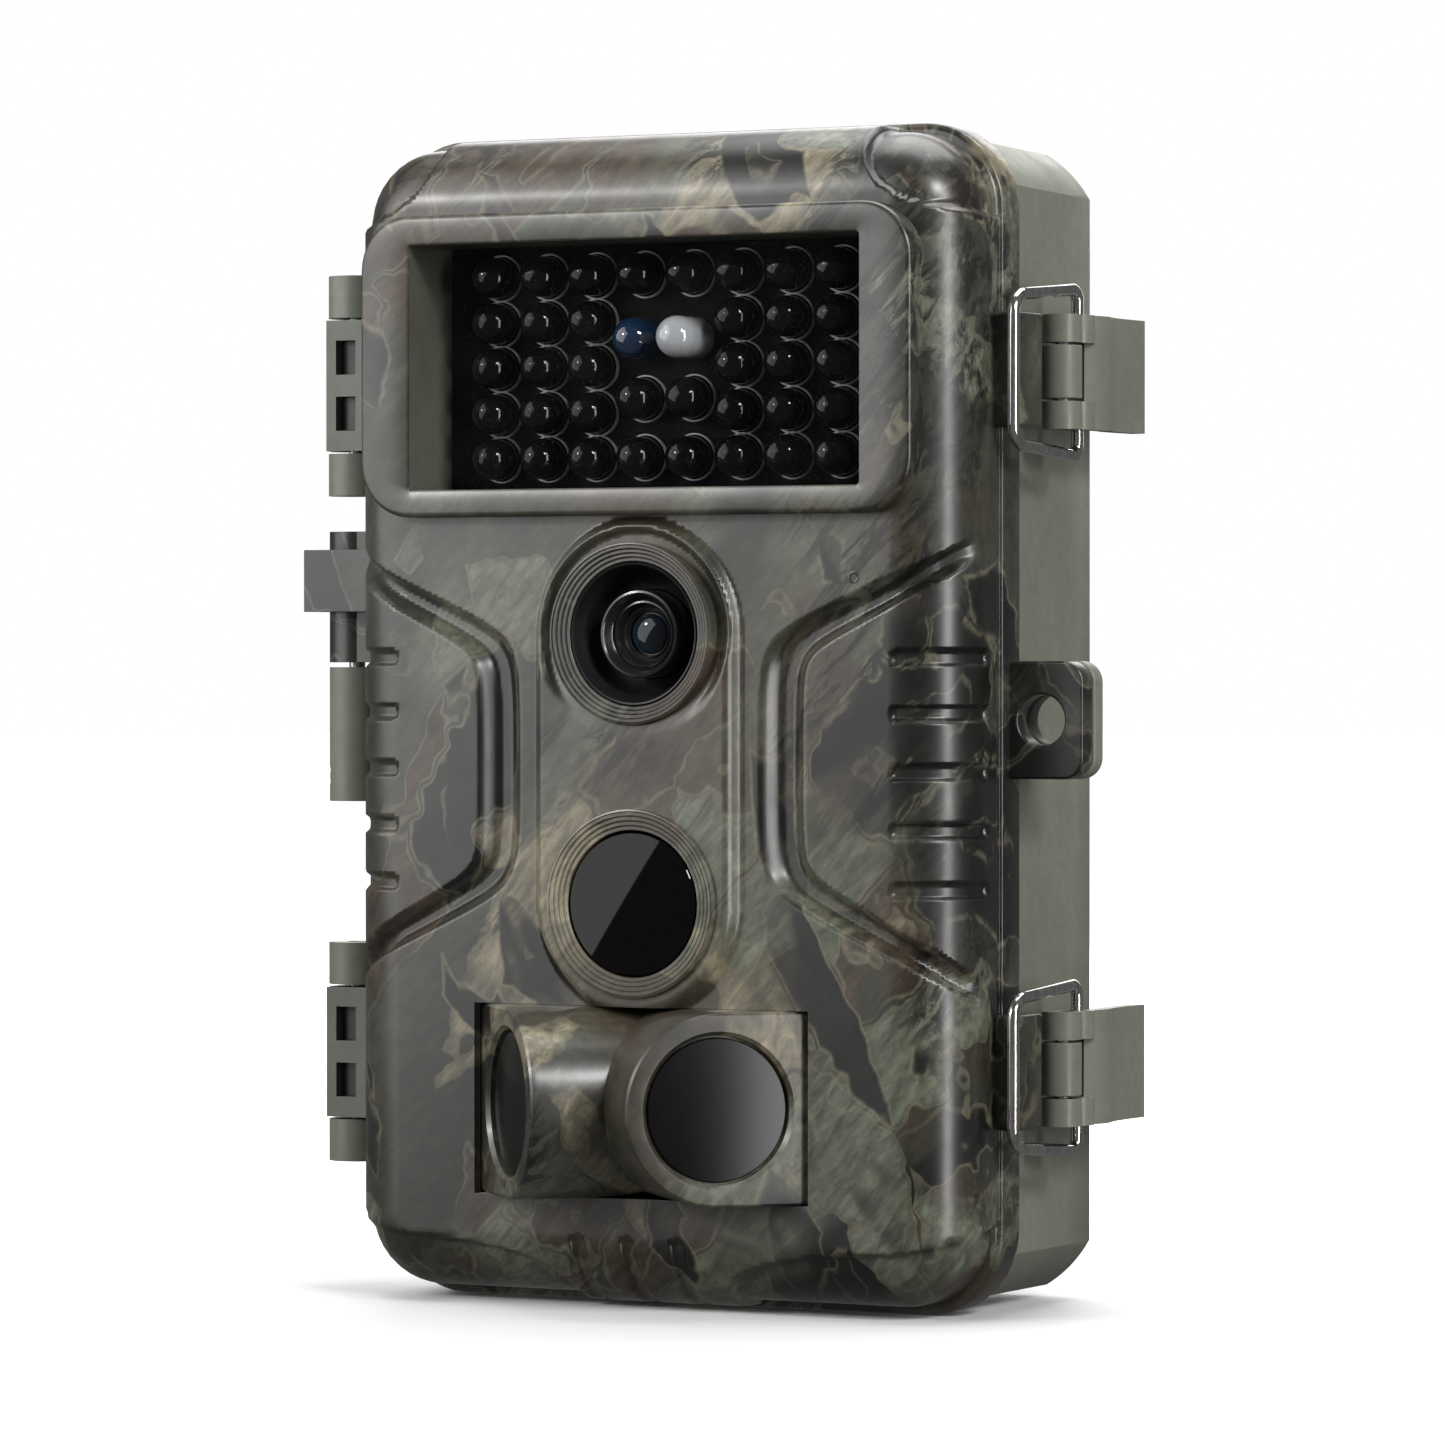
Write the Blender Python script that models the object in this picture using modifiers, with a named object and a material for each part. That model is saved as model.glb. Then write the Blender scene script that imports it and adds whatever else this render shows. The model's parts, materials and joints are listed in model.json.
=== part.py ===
"""Trail camera: a clamshell case with a hinged front cover, two draw latches and its works.

Sizes are in millimetres and are scaled to metres as each mesh is made. +Z is up and the camera
looks along -Y. The origin is on the ground under the middle of the case, and the plane where the
front cover meets the rear case is Y = 0.
"""
from math import cos, pi, radians, sin

import bmesh
import bpy
from mathutils import Matrix, Vector

MM = 0.001
GAP = 0.3                    # clearance between pieces that touch
MERGE = 0.00001              # weld distance in metres
X_AXIS, Y_AXIS, Z_AXIS = Vector((1, 0, 0)), Vector((0, 1, 0)), Vector((0, 0, 1))

# case
HEIGHT = 140.0
FLANGE_HALF = 41.5           # half width of the cover's flange
FLANGE_DEPTH = 5.0
COVER_HALF = 39.8
BAND_HALF = 41.2             # the cover's sides stand proud between its corners
FACE_Y = -17.6               # general front face
RIM_Y = -20.0                # rim of the lamp window, the lens ring and the sensor ring
CASE_HALF = 39.6
CASE_BACK = 24.5
RAIL_BACK = 32.0             # back of the two strap rails
WALL = 2.4
FRONT_WALL = 3.4
CORNER = 10.0
CASE_CORNER = 5.0
JOINT_GAP = 0.15             # each half of the case stays this far from Y = 0
TRIPOD_Y = 12.0

# lamp window
WINDOW_HALF = 30.2
WINDOW_LOW, WINDOW_HIGH = 97.3, 126.6
LAMP_PITCH_X = 6.6
LAMP_ROWS = (101.1, 106.5, 112.0, 117.4, 122.9)
LAMP_RADIUS = 2.4
LAMP_FRONT = -14.6
INDICATOR_Z = 115.2
LAMP_BOARD_Y = -9.0

# lens and sensors
LENS_Z, LENS_HOLE = 80.1, 8.6
PIR_Z, PIR_HOLE = 48.3, 8.7
COLUMN_HALF = 14.0
SIDE_Z, SIDE_X, SIDE_Y = 24.7, 14.3, -24.33
SIDE_ANGLE = 45.0
SIDE_BARREL, SIDE_WINDOW = 11.35, 8.45
SIDE_SEAT_Y = -15.9          # floor of the shallow recess that holds the side sensors' housing

# hinge on the left, latches on the right
HINGE_X, HINGE_Y, KNUCKLE = -49.1, -0.5, 3.5
HINGE_LEAVES = {"upper": (102.7, 118.8), "lower": (20.7, 36.7)}
HINGE_EAR = 5.2
CENTRE_BARREL = (59.6, 76.1)     # the case's middle knuckle, with a grub screw that holds the pin
CENTRE_KNUCKLE = (76.7, 92.8)    # the cover's middle knuckle
GRUB_Z = 62.77
GRUB_DIRECTION = Vector((-0.90, -0.44, 0)).normalized()
PIN_RADIUS, BORE_RADIUS = 1.0, 1.3
LATCH_X, LATCH_Y, LATCH_KNUCKLE = 45.0, 3.8, 2.35
LATCH_MIDDLES = {"upper": 110.85, "lower": 28.95}
LATCH_HALF, LATCH_LUG_HALF = 6.75, 3.15
BAIL_X, BAIL_Y, BAIL_FRONT, BAIL_HALF, WIRE = 45.5, 6.9, -8.0, 9.6, 0.75
LOCK_X, LOCK_Z, LOCK_HOLE = 45.5, 70.0, 3.0

# power and controls
CELL_RADIUS, CELL_LENGTH, CELL_PITCH = 7.1, 49.0, 14.9
BAY_LOW, BAY_LENGTH = 14.9, 54.0
BAY_MIDDLES = (41.9, 98.1)
CELL_Y = 13.2
PANEL_Y = (-2.4, -0.6)
BOARD_Y = (-8.3, -6.8)
KEYS = {"key_up": (20.0, 62.0), "key_down": (20.0, 38.0), "key_left": (8.5, 50.0),
        "key_right": (31.5, 50.0), "key_ok": (20.0, 50.0), "key_menu": (8.5, 70.0)}
KEY_RADIUS = 3.2
SWITCH_X, SWITCH_Z, SWITCH_TRAVEL = -26.0, 60.0, 8.0
PANEL_SCREWS = [(-33.5, 128.0), (33.5, 128.0), (-34.5, 70.0), (33.5, 12.0)]
CARD_LOW, CARD_HIGH = Vector((-31.5, -5.75, 15.0)), Vector((-7.5, -3.65, 47.0))

COLOURS = {  # slot: (red, green, blue, roughness, metallic)
    "camo_plastic": (0.10, 0.095, 0.075, 0.35, 0.0),
    "olive_plastic": (0.17, 0.18, 0.145, 0.42, 0.0),
    "black_plastic": (0.012, 0.012, 0.013, 0.40, 0.0),
    "clear_plastic": (0.80, 0.82, 0.82, 0.05, 0.0),
    "smoked_lamp": (0.010, 0.008, 0.010, 0.10, 0.0),
    "blue_lamp": (0.02, 0.05, 0.12, 0.10, 0.0),
    "white_lamp": (0.75, 0.75, 0.72, 0.25, 0.0),
    "lens_glass": (0.03, 0.03, 0.04, 0.03, 0.0),
    "sensor_film": (0.012, 0.010, 0.011, 0.30, 0.0),
    "sensor_can": (0.60, 0.58, 0.52, 0.30, 1.0),
    "circuit_board": (0.02, 0.11, 0.05, 0.45, 0.0),
    "display_glass": (0.02, 0.03, 0.05, 0.08, 0.0),
    "key_rubber": (0.16, 0.16, 0.16, 0.60, 0.0),
    "seal_rubber": (0.02, 0.02, 0.02, 0.70, 0.0),
    "chrome_wire": (0.62, 0.61, 0.60, 0.15, 1.0),
    "steel": (0.45, 0.45, 0.45, 0.30, 1.0),
    "brass": (0.60, 0.42, 0.15, 0.30, 1.0),
    "contact_plate": (0.65, 0.64, 0.60, 0.25, 1.0),
    "cell_jacket": (0.05, 0.06, 0.08, 0.35, 0.3),
    "card_plastic": (0.03, 0.05, 0.12, 0.45, 0.0),
}


# ---------------------------------------------------------------- scene and materials

def clear_scene():
    for obj in list(bpy.data.objects):
        bpy.data.objects.remove(obj, do_unlink=True)


def new_collection(name):
    group = bpy.data.collections.new(name)
    bpy.context.scene.collection.children.link(group)
    return group


def make_material(slot):
    red, green, blue, roughness, metallic = COLOURS[slot]
    material = bpy.data.materials.new(slot)
    material.use_nodes = True
    shader = material.node_tree.nodes["Principled BSDF"]
    shader.inputs["Base Color"].default_value = (red, green, blue, 1.0)
    shader.inputs["Roughness"].default_value = roughness
    shader.inputs["Metallic"].default_value = metallic
    material.diffuse_color = (red, green, blue, 1.0)
    return material


clear_scene()
PARTS = new_collection("trail_camera")
CUTTERS = new_collection("cutters")
MATERIALS = {slot: make_material(slot) for slot in COLOURS}


def add_mesh(name, bm):
    """Make a mesh object from bm, which is in millimetres, and leave it in the cutters."""
    bmesh.ops.scale(bm, vec=(MM, MM, MM), verts=bm.verts)
    bmesh.ops.recalc_face_normals(bm, faces=bm.faces)
    mesh = bpy.data.meshes.new(name)
    bm.to_mesh(mesh)
    bm.free()
    mesh.shade_smooth()
    mesh.set_sharp_from_angle(angle=radians(35))
    obj = bpy.data.objects.new(name, mesh)
    CUTTERS.objects.link(obj)
    obj.hide_render = True
    obj.display_type = "WIRE"
    return obj


def finish(obj, slot):
    """Turn a shape into a sub-part with its material."""
    CUTTERS.objects.unlink(obj)
    PARTS.objects.link(obj)
    obj.hide_render = False
    obj.display_type = "TEXTURED"
    obj.data.materials.clear()
    obj.data.materials.append(MATERIALS[slot])
    return obj


def combine(obj, others, operation):
    for other in others:
        modifier = obj.modifiers.new(f"{operation.lower()} {other.name}", "BOOLEAN")
        modifier.operation = operation
        modifier.object = other
    return obj


def join(obj, *others):
    return combine(obj, others, "UNION")


def cut(obj, *others):
    return combine(obj, others, "DIFFERENCE")


# ---------------------------------------------------------------- basic shapes

def box(name, low, high, bevel=0.0):
    bm = bmesh.new()
    size = Vector(high) - Vector(low)
    middle = (Vector(high) + Vector(low)) / 2
    bmesh.ops.create_cube(bm, size=1, matrix=Matrix.Translation(middle) @ Matrix.Diagonal((*size, 1)))
    if bevel:
        bmesh.ops.bevel(bm, geom=bm.edges, offset=bevel, segments=1, profile=0.5, affect="EDGES")
    return add_mesh(name, bm)


def rounded_box(name, half, y_range, z_range, corner, rim, rim_y, segments=5):
    """A box with round corners seen from the front, and a round rim on its face at rim_y."""
    bm = bmesh.new()
    size = Vector((2 * half, y_range[1] - y_range[0], z_range[1] - z_range[0]))
    middle = Vector((0, sum(y_range) / 2, sum(z_range) / 2))
    bmesh.ops.create_cube(bm, size=1, matrix=Matrix.Translation(middle) @ Matrix.Diagonal((*size, 1)))
    along_y = [e for e in bm.edges if abs((e.verts[0].co - e.verts[1].co).y) > size.y / 2]
    bmesh.ops.bevel(bm, geom=along_y, offset=corner, segments=segments, profile=0.5, affect="EDGES")
    if rim:
        around = [e for e in bm.edges if all(abs(v.co.y - rim_y) < 0.001 for v in e.verts)]
        bmesh.ops.bevel(bm, geom=around, offset=rim, segments=segments - 1, profile=0.5, affect="EDGES")
    return add_mesh(name, bm)


def rod(name, radius, start, end, sides=20, end_radius=None):
    """A cylinder, or a cone frustum, from start to end."""
    start, end = Vector(start), Vector(end)
    along = end - start
    turn = Z_AXIS.rotation_difference(along).to_matrix().to_4x4()
    bm = bmesh.new()
    bmesh.ops.create_cone(bm, cap_ends=True, segments=sides, radius1=radius,
                          radius2=radius if end_radius is None else end_radius,
                          depth=along.length, matrix=Matrix.Translation((start + end) / 2) @ turn)
    return add_mesh(name, bm)


def arc(centre, radius, start, end, steps):
    """Points of an arc, angles in degrees."""
    angles = [radians(start + (end - start) * i / steps) for i in range(steps + 1)]
    return [(centre[0] + radius * cos(a), centre[1] + radius * sin(a)) for a in angles]


def rounded_outline(low, high, corner, steps=5):
    (x0, z0), (x1, z1) = low, high
    return (arc((x1 - corner, z0 + corner), corner, -90, 0, steps)
            + arc((x1 - corner, z1 - corner), corner, 0, 90, steps)
            + arc((x0 + corner, z1 - corner), corner, 90, 180, steps)
            + arc((x0 + corner, z0 + corner), corner, 180, 270, steps))


def circle_outline(centre, radius, steps=20):
    return arc(centre, radius, 0, 360 * (steps - 1) / steps, steps - 1)


def plate(name, outlines, start, end, axis="Y"):
    """A flat piece between start and end along an axis. Outlines inside the first are holes."""
    turns = {"X": Matrix.Rotation(pi / 2, 4, "Z") @ Matrix.Rotation(pi / 2, 4, "X"),
             "Y": Matrix.Rotation(pi / 2, 4, "X"), "Z": Matrix.Identity(4)}
    moves = {"X": X_AXIS, "Y": Y_AXIS, "Z": Z_AXIS}
    curve = bpy.data.curves.new(name, "CURVE")
    curve.dimensions = "2D"
    curve.fill_mode = "BOTH"
    curve.extrude = (end - start) / 2
    for outline in outlines:
        spline = curve.splines.new("POLY")
        spline.points.add(len(outline) - 1)
        for point, place in zip(spline.points, outline):
            point.co = (*place, 0, 1)
        spline.use_cyclic_u = True
    guide = bpy.data.objects.new(name, curve)
    guide.matrix_world = Matrix.Translation(moves[axis] * (start + end) / 2) @ turns[axis]
    return mesh_of_curve(guide)


def wire(name, points, radius):
    """A round wire through the points."""
    curve = bpy.data.curves.new(name, "CURVE")
    curve.dimensions = "3D"
    curve.bevel_depth = radius
    curve.bevel_resolution = 2
    curve.use_fill_caps = True
    spline = curve.splines.new("POLY")
    spline.points.add(len(points) - 1)
    for point, place in zip(spline.points, points):
        point.co = (*place, 1)
    return mesh_of_curve(bpy.data.objects.new(name, curve))


def mesh_of_curve(guide):
    """The closed mesh of a curve object, with its caps welded on."""
    name = guide.name
    CUTTERS.objects.link(guide)
    bpy.context.view_layer.update()
    graph = bpy.context.evaluated_depsgraph_get()
    mesh = bpy.data.meshes.new_from_object(guide.evaluated_get(graph))
    mesh.transform(guide.matrix_world)
    bpy.data.objects.remove(guide)
    bm = bmesh.new()
    bm.from_mesh(mesh)
    bpy.data.meshes.remove(mesh)
    bmesh.ops.remove_doubles(bm, verts=bm.verts, dist=MERGE / MM)
    return add_mesh(name, bm)


def turned(name, profile, centre, direction=-Y_AXIS, steps=24):
    """A piece turned about an axis through centre.

    The profile gives (radius, distance along direction), from the front of the outside round to
    the axis or back to the start, and is spun with a Screw modifier about its own Z.
    """
    mesh = bpy.data.meshes.new(name)
    points = [(radius * MM, 0, along * MM) for radius, along in profile]
    mesh.from_pydata(points, [(i, i + 1) for i in range(len(points) - 1)], [])
    obj = bpy.data.objects.new(name, mesh)
    CUTTERS.objects.link(obj)
    obj.hide_render = True
    obj.display_type = "WIRE"
    screw = obj.modifiers.new("turn", "SCREW")
    screw.steps = screw.render_steps = steps
    screw.use_merge_vertices = True
    screw.merge_threshold = MERGE
    screw.use_smooth_shade = True
    obj.location = Vector(centre) * MM
    obj.rotation_euler = Z_AXIS.rotation_difference(direction).to_euler()
    return obj


def pivot(name, place, pieces):
    """An empty on a joint's axis that carries the pieces which move about or along it."""
    empty = bpy.data.objects.new(name, None)
    empty.location = Vector(place) * MM
    empty.empty_display_size = 5 * MM
    PARTS.objects.link(empty)
    bpy.context.view_layer.update()
    for piece in pieces:
        piece.parent = empty
        piece.matrix_parent_inverse = empty.matrix_world.inverted()
    return empty


# ---------------------------------------------------------------- rear case

def strap_rail(side):
    """A moulded rail on the back with a slot for a 25 mm strap and teeth that grip bark."""
    low, high, slot_half, pitch, tooth = 38.0, 102.0, 14.0, 4.0, 1.6
    middle = (low + high) / 2
    back = [(RAIL_BACK, middle - slot_half - pitch), (RAIL_BACK, middle + slot_half + pitch)]
    count = int((middle - slot_half - pitch - low) / pitch)
    for i in range(1, count):
        step = slot_half + pitch * (i + 1)
        valley_low = (RAIL_BACK - tooth, middle - step + pitch / 2)
        valley_high = (RAIL_BACK - tooth, middle + step - pitch / 2)
        back = [(RAIL_BACK, middle - step), valley_low] + back + [valley_high, (RAIL_BACK, middle + step)]
    inside = CASE_BACK - 1
    outline = [(inside, low)] + back + [(inside, high)]
    slot = [(CASE_BACK + 0.6, middle - slot_half), (CASE_BACK + 5.1, middle - slot_half),
            (CASE_BACK + 5.1, middle + slot_half), (CASE_BACK + 0.6, middle + slot_half)]
    x = 16.0 * side
    return plate(f"strap_rail_{side}", [outline, slot], x - 4, x + 4, axis="X")


def hinge_ear(z_range, radius):
    """A hinge knuckle of the rear case with its web."""
    z0, z1 = z_range
    knuckle = rod(f"ear_{z0}", radius, (HINGE_X, HINGE_Y, z0), (HINGE_X, HINGE_Y, z1))
    web = box(f"ear_web_{z0}", (HINGE_X, 0.3, z0), (-CASE_HALF + 1, 2.6, z1))
    return [knuckle, web]


def ear_ranges():
    for low, high in HINGE_LEAVES.values():
        yield (low - GAP - HINGE_EAR, low - GAP)
        yield (high + GAP, high + GAP + HINGE_EAR)


def latch_lug(middle):
    """The lug between a lever's two cheeks."""
    z0, z1 = middle - LATCH_LUG_HALF, middle + LATCH_LUG_HALF
    knuckle = rod(f"lug_{middle}", LATCH_KNUCKLE, (LATCH_X, LATCH_Y, z0), (LATCH_X, LATCH_Y, z1))
    web = box(f"lug_web_{middle}", (CASE_HALF - 1, LATCH_Y - 1.5, z0), (LATCH_X, LATCH_Y + 1.5, z1))
    return [knuckle, web]


def lock_tab(name, y_range):
    """A tab with the padlock hole, rounded at its two outer corners."""
    corner = 2.5
    z0, z1, outer = LOCK_Z - 6.9, LOCK_Z + 6.9, 50.9
    outline = ([(CASE_HALF - 1, z0)] + arc((outer - corner, z0 + corner), corner, -90, 0, 4)
               + arc((outer - corner, z1 - corner), corner, 0, 90, 4) + [(CASE_HALF - 1, z1)])
    return plate(name, [outline, circle_outline((LOCK_X, LOCK_Z), LOCK_HOLE)], *y_range)


def pin_bore(name, x, y, z_range):
    return rod(name, BORE_RADIUS, (x, y, z_range[0]), (x, y, z_range[1]), sides=16)


def rear_case():
    case = rounded_box("rear_case", CASE_HALF, (JOINT_GAP, CASE_BACK), (1.5, HEIGHT - 1.5), CASE_CORNER, 2,
                       CASE_BACK, segments=2)
    join(case, strap_rail(-1), strap_rail(1))
    mouth = rounded_box("case_mouth", 35.4, (-1, 2.7), (5.7, HEIGHT - 5.7), 8, 0, 0)
    inside = rounded_box("case_inside", 37.2, (2.6, CASE_BACK - WALL), (3.9, HEIGHT - 3.9), 9.6, 0, 0)
    groove = plate("gasket_groove", [rounded_outline((-38.3, 2.8), (38.3, HEIGHT - 2.8), 10.7),
                                     rounded_outline((-36.6, 4.5), (36.6, HEIGHT - 4.5), 9.0)], -1, 1.5)
    cut(case, mouth, inside, groove)
    boss = rod("tripod_boss", 8.0, (0, TRIPOD_Y, 0), (0, TRIPOD_Y, 10))
    join(case, boss)
    for z_range in ear_ranges():
        join(case, *hinge_ear(z_range, KNUCKLE))
    join(case, *hinge_ear(CENTRE_BARREL, KNUCKLE - 0.1))
    for middle in LATCH_MIDDLES.values():
        join(case, *latch_lug(middle))
    join(case, lock_tab("case_lock_tab", (JOINT_GAP + 0.15, 2.7)))
    cut(case, rod("insert_bore", 4.8, (0, TRIPOD_Y, -1), (0, TRIPOD_Y, 8.3)))
    cut(case, pin_bore("hinge_bore_rear", HINGE_X, HINGE_Y, (-1, HEIGHT + 1)))
    for name, middle in LATCH_MIDDLES.items():
        cut(case, pin_bore(f"latch_bore_{name}", LATCH_X, LATCH_Y, (middle - 5, middle + 5)))
    grub = Vector((HINGE_X, HINGE_Y, GRUB_Z))
    cut(case, rod("grub_bore", 1.05, grub, grub + GRUB_DIRECTION * 5, sides=10))
    return finish(case, "olive_plastic")


def case_seal():
    outer, low = 38.3 - GAP, 2.8 + GAP
    inner, inner_low = 36.6 + GAP, 4.5 - GAP
    outlines = [rounded_outline((-outer, low), (outer, HEIGHT - low), 10.7 - GAP),
                rounded_outline((-inner, inner_low), (inner, HEIGHT - inner_low), 9.0 + GAP)]
    finish(plate("case_gasket", outlines, 0.15, 1.2), "seal_rubber")


def tripod_insert():
    """A quarter-inch threaded insert, drawn with its plain minor bore."""
    insert = rod("tripod_insert", 4.5, (0, TRIPOD_Y, 0.1), (0, TRIPOD_Y, 8.0))
    cut(insert, rod("thread_bore", 3.17, (0, TRIPOD_Y, -1), (0, TRIPOD_Y, 7.0), sides=20))
    finish(insert, "brass")


def pins():
    for name, (low, high) in HINGE_LEAVES.items():
        ends = low - GAP - HINGE_EAR + 0.2, high + GAP + HINGE_EAR - 0.2
        finish(rod(f"hinge_pin_{name}", PIN_RADIUS, (HINGE_X, HINGE_Y, ends[0]),
                   (HINGE_X, HINGE_Y, ends[1]), sides=16), "steel")
    finish(rod("hinge_pin_centre", PIN_RADIUS, (HINGE_X, HINGE_Y, CENTRE_BARREL[0] + 0.2),
               (HINGE_X, HINGE_Y, CENTRE_KNUCKLE[1] - 2), sides=16), "steel")
    grub = Vector((HINGE_X, HINGE_Y, GRUB_Z))
    screw = rod("grub_screw", 0.75, grub + GRUB_DIRECTION * 1.4, grub + GRUB_DIRECTION * 3.3, sides=12)
    socket = rod("grub_socket", 0.4, grub + GRUB_DIRECTION * 2.5, grub + GRUB_DIRECTION * 4, sides=6)
    finish(cut(screw, socket), "steel")


# ---------------------------------------------------------------- latches

def strip_outline(path, half_thickness):
    """The outline of a strip that follows a path of points in one plane."""
    left, right = [], []
    for i, point in enumerate(path):
        before, after = Vector(path[max(i - 1, 0)]), Vector(path[min(i + 1, len(path) - 1)])
        along = (after - before).normalized()
        normal = Vector((-along.y, along.x)) * half_thickness
        left.append(tuple(Vector(point) + normal))
        right.append(tuple(Vector(point) - normal))
    return left + right[::-1]


def latch_lever(name, middle):
    """The lever: two cheeks on the pivot pin, and a thumb plate with an easy S bend."""
    low, high = middle - LATCH_HALF, middle + LATCH_HALF
    path = [(45.6, 7.4), (46.6, 9.2), (46.8, 11.0), (46.3, 13.4), (46.1, 15.6), (46.1, 19.0), (46.3, 22.4)]
    lever = plate(f"latch_lever_{name}", [strip_outline(path, 0.9)], low, high, axis="Z")
    for z0, z1 in ((low, middle - LATCH_LUG_HALF - GAP), (middle + LATCH_LUG_HALF + GAP, high)):
        join(lever, rod(f"cheek_{z0}", LATCH_KNUCKLE, (LATCH_X, LATCH_Y, z0), (LATCH_X, LATCH_Y, z1)),
             rod(f"bail_eye_{z0}", 2.1, (BAIL_X, BAIL_Y, z0), (BAIL_X, BAIL_Y, z1)))
    cut(lever, pin_bore(f"lever_bore_{name}", LATCH_X, LATCH_Y, (low - 1, high + 1)))
    for end, inner in ((low - 1, low + 2.4), (high + 1, high - 2.4)):
        cut(lever, rod(f"bail_bore_{end}", WIRE + GAP, (BAIL_X, BAIL_Y, min(end, inner)),
                       (BAIL_X, BAIL_Y, max(end, inner)), sides=16))
    return finish(lever, "olive_plastic")


def latch_bail(name, middle):
    """The wire bail, bent as a rounded rectangle whose ends turn into the lever's cheeks."""
    reach, bend, foot = BAIL_HALF - WIRE, 2.6, LATCH_HALF - 1.9
    lean = -1.2
    corners = ([(BAIL_Y, foot)] + arc((BAIL_Y - bend, reach - bend), bend, 0, 90, 5)
               + arc((BAIL_FRONT + bend, reach - bend), bend, 90, 180, 5))
    half = [(BAIL_X + lean * (BAIL_Y - y) / (BAIL_Y - BAIL_FRONT), y, middle + z) for y, z in corners]
    other = [(x, y, 2 * middle - z) for x, y, z in reversed(half)]
    return finish(wire(f"latch_bail_{name}", half + other, WIRE), "chrome_wire")


def latches():
    for name, middle in LATCH_MIDDLES.items():
        lever = latch_lever(name, middle)
        bail = latch_bail(name, middle)
        ends = middle - LATCH_HALF + 0.2, middle + LATCH_HALF - 0.2
        finish(rod(f"latch_pin_{name}", PIN_RADIUS, (LATCH_X, LATCH_Y, ends[0]),
                   (LATCH_X, LATCH_Y, ends[1]), sides=16), "steel")
        lever_axis = pivot(f"axis_lever_{name}", (LATCH_X, LATCH_Y, middle), [lever])
        bail_axis = pivot(f"axis_bail_{name}", (BAIL_X, BAIL_Y, middle), [bail])
        bail_axis.parent = lever_axis
        bail_axis.matrix_parent_inverse = lever_axis.matrix_world.inverted()


# ---------------------------------------------------------------- front cover

def pocket_groove(side):
    """The groove round a side pocket: two slants from the side edge and an upright between them."""
    outer = [(42.5, 91.1), (15.9, 79.7), (15.9, 49.9), (42.5, 37.8)]
    inner = [(42.5, 41.4), (22.1, 52.4), (22.1, 77.3), (42.5, 87.5)]
    outline = [(side * x, z) for x, z in outer + inner]
    return plate(f"pocket_groove_{side}", [outline], FACE_Y - 8, FACE_Y + 2.0)


def grip_slot(side, z):
    return box(f"grip_{side}_{z}", (min(side * 33, side * 44), FACE_Y - 8, z - 0.95),
               (max(side * 33, side * 44), FACE_Y + 0.6, z + 0.95))


def cover_hinge_leaf(name, low, high):
    """The cover's leaf between two ears of the case, with two square pockets in its front."""
    leaf = box(f"leaf_{name}", (-51.5, HINGE_Y - 3.4, low), (-COVER_HALF + 1, HINGE_Y - 0.4, high))
    knuckle = rod(f"leaf_knuckle_{name}", KNUCKLE - 0.1, (HINGE_X, HINGE_Y, low), (HINGE_X, HINGE_Y, high))
    pockets = [box(f"leaf_pocket_{name}_{i}", (-50.1, HINGE_Y - 5, z - 2.1), (-47.3, HINGE_Y - 1.9, z + 2.1))
               for i, z in enumerate((low + 4.6, low + 11.5))]
    return [leaf, knuckle], pockets


def cover_centre_knuckle():
    """The cover's middle knuckle: a round barrel carried by a square block."""
    low, high = CENTRE_KNUCKLE
    barrel = rod("centre_knuckle", KNUCKLE - 0.1, (HINGE_X, HINGE_Y, low), (HINGE_X, HINGE_Y, high))
    block = box("centre_block", (-52.6, -7.4, 82.9), (-COVER_HALF + 1, -0.9, 90.5), bevel=0.5)
    web = box("centre_web", (HINGE_X, -3.4, low), (-COVER_HALF + 1, -0.9, high))
    return [barrel, block, web]


def catch_block(name, middle):
    """The catch that the bail hooks over, on the side of the cover's flange."""
    return box(f"catch_{name}", (CASE_HALF - 1, BAIL_FRONT + WIRE + 0.35, middle - LATCH_HALF),
               (44.6, -0.45, middle + LATCH_HALF), bevel=0.6)


def cover_band(radius):
    """The prouder middle of the cover, between its recessed corners."""
    front = FACE_Y + 0.1
    outline = ([(-BAND_HALF, -2.5)] + arc((radius - BAND_HALF, front + radius), radius, 180, 270, 4)
               + arc((BAND_HALF - radius, front + radius), radius, 270, 360, 4) + [(BAND_HALF, -2.5)])
    return plate("cover_band", [outline], 11, HEIGHT - 11, axis="Z")


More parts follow.
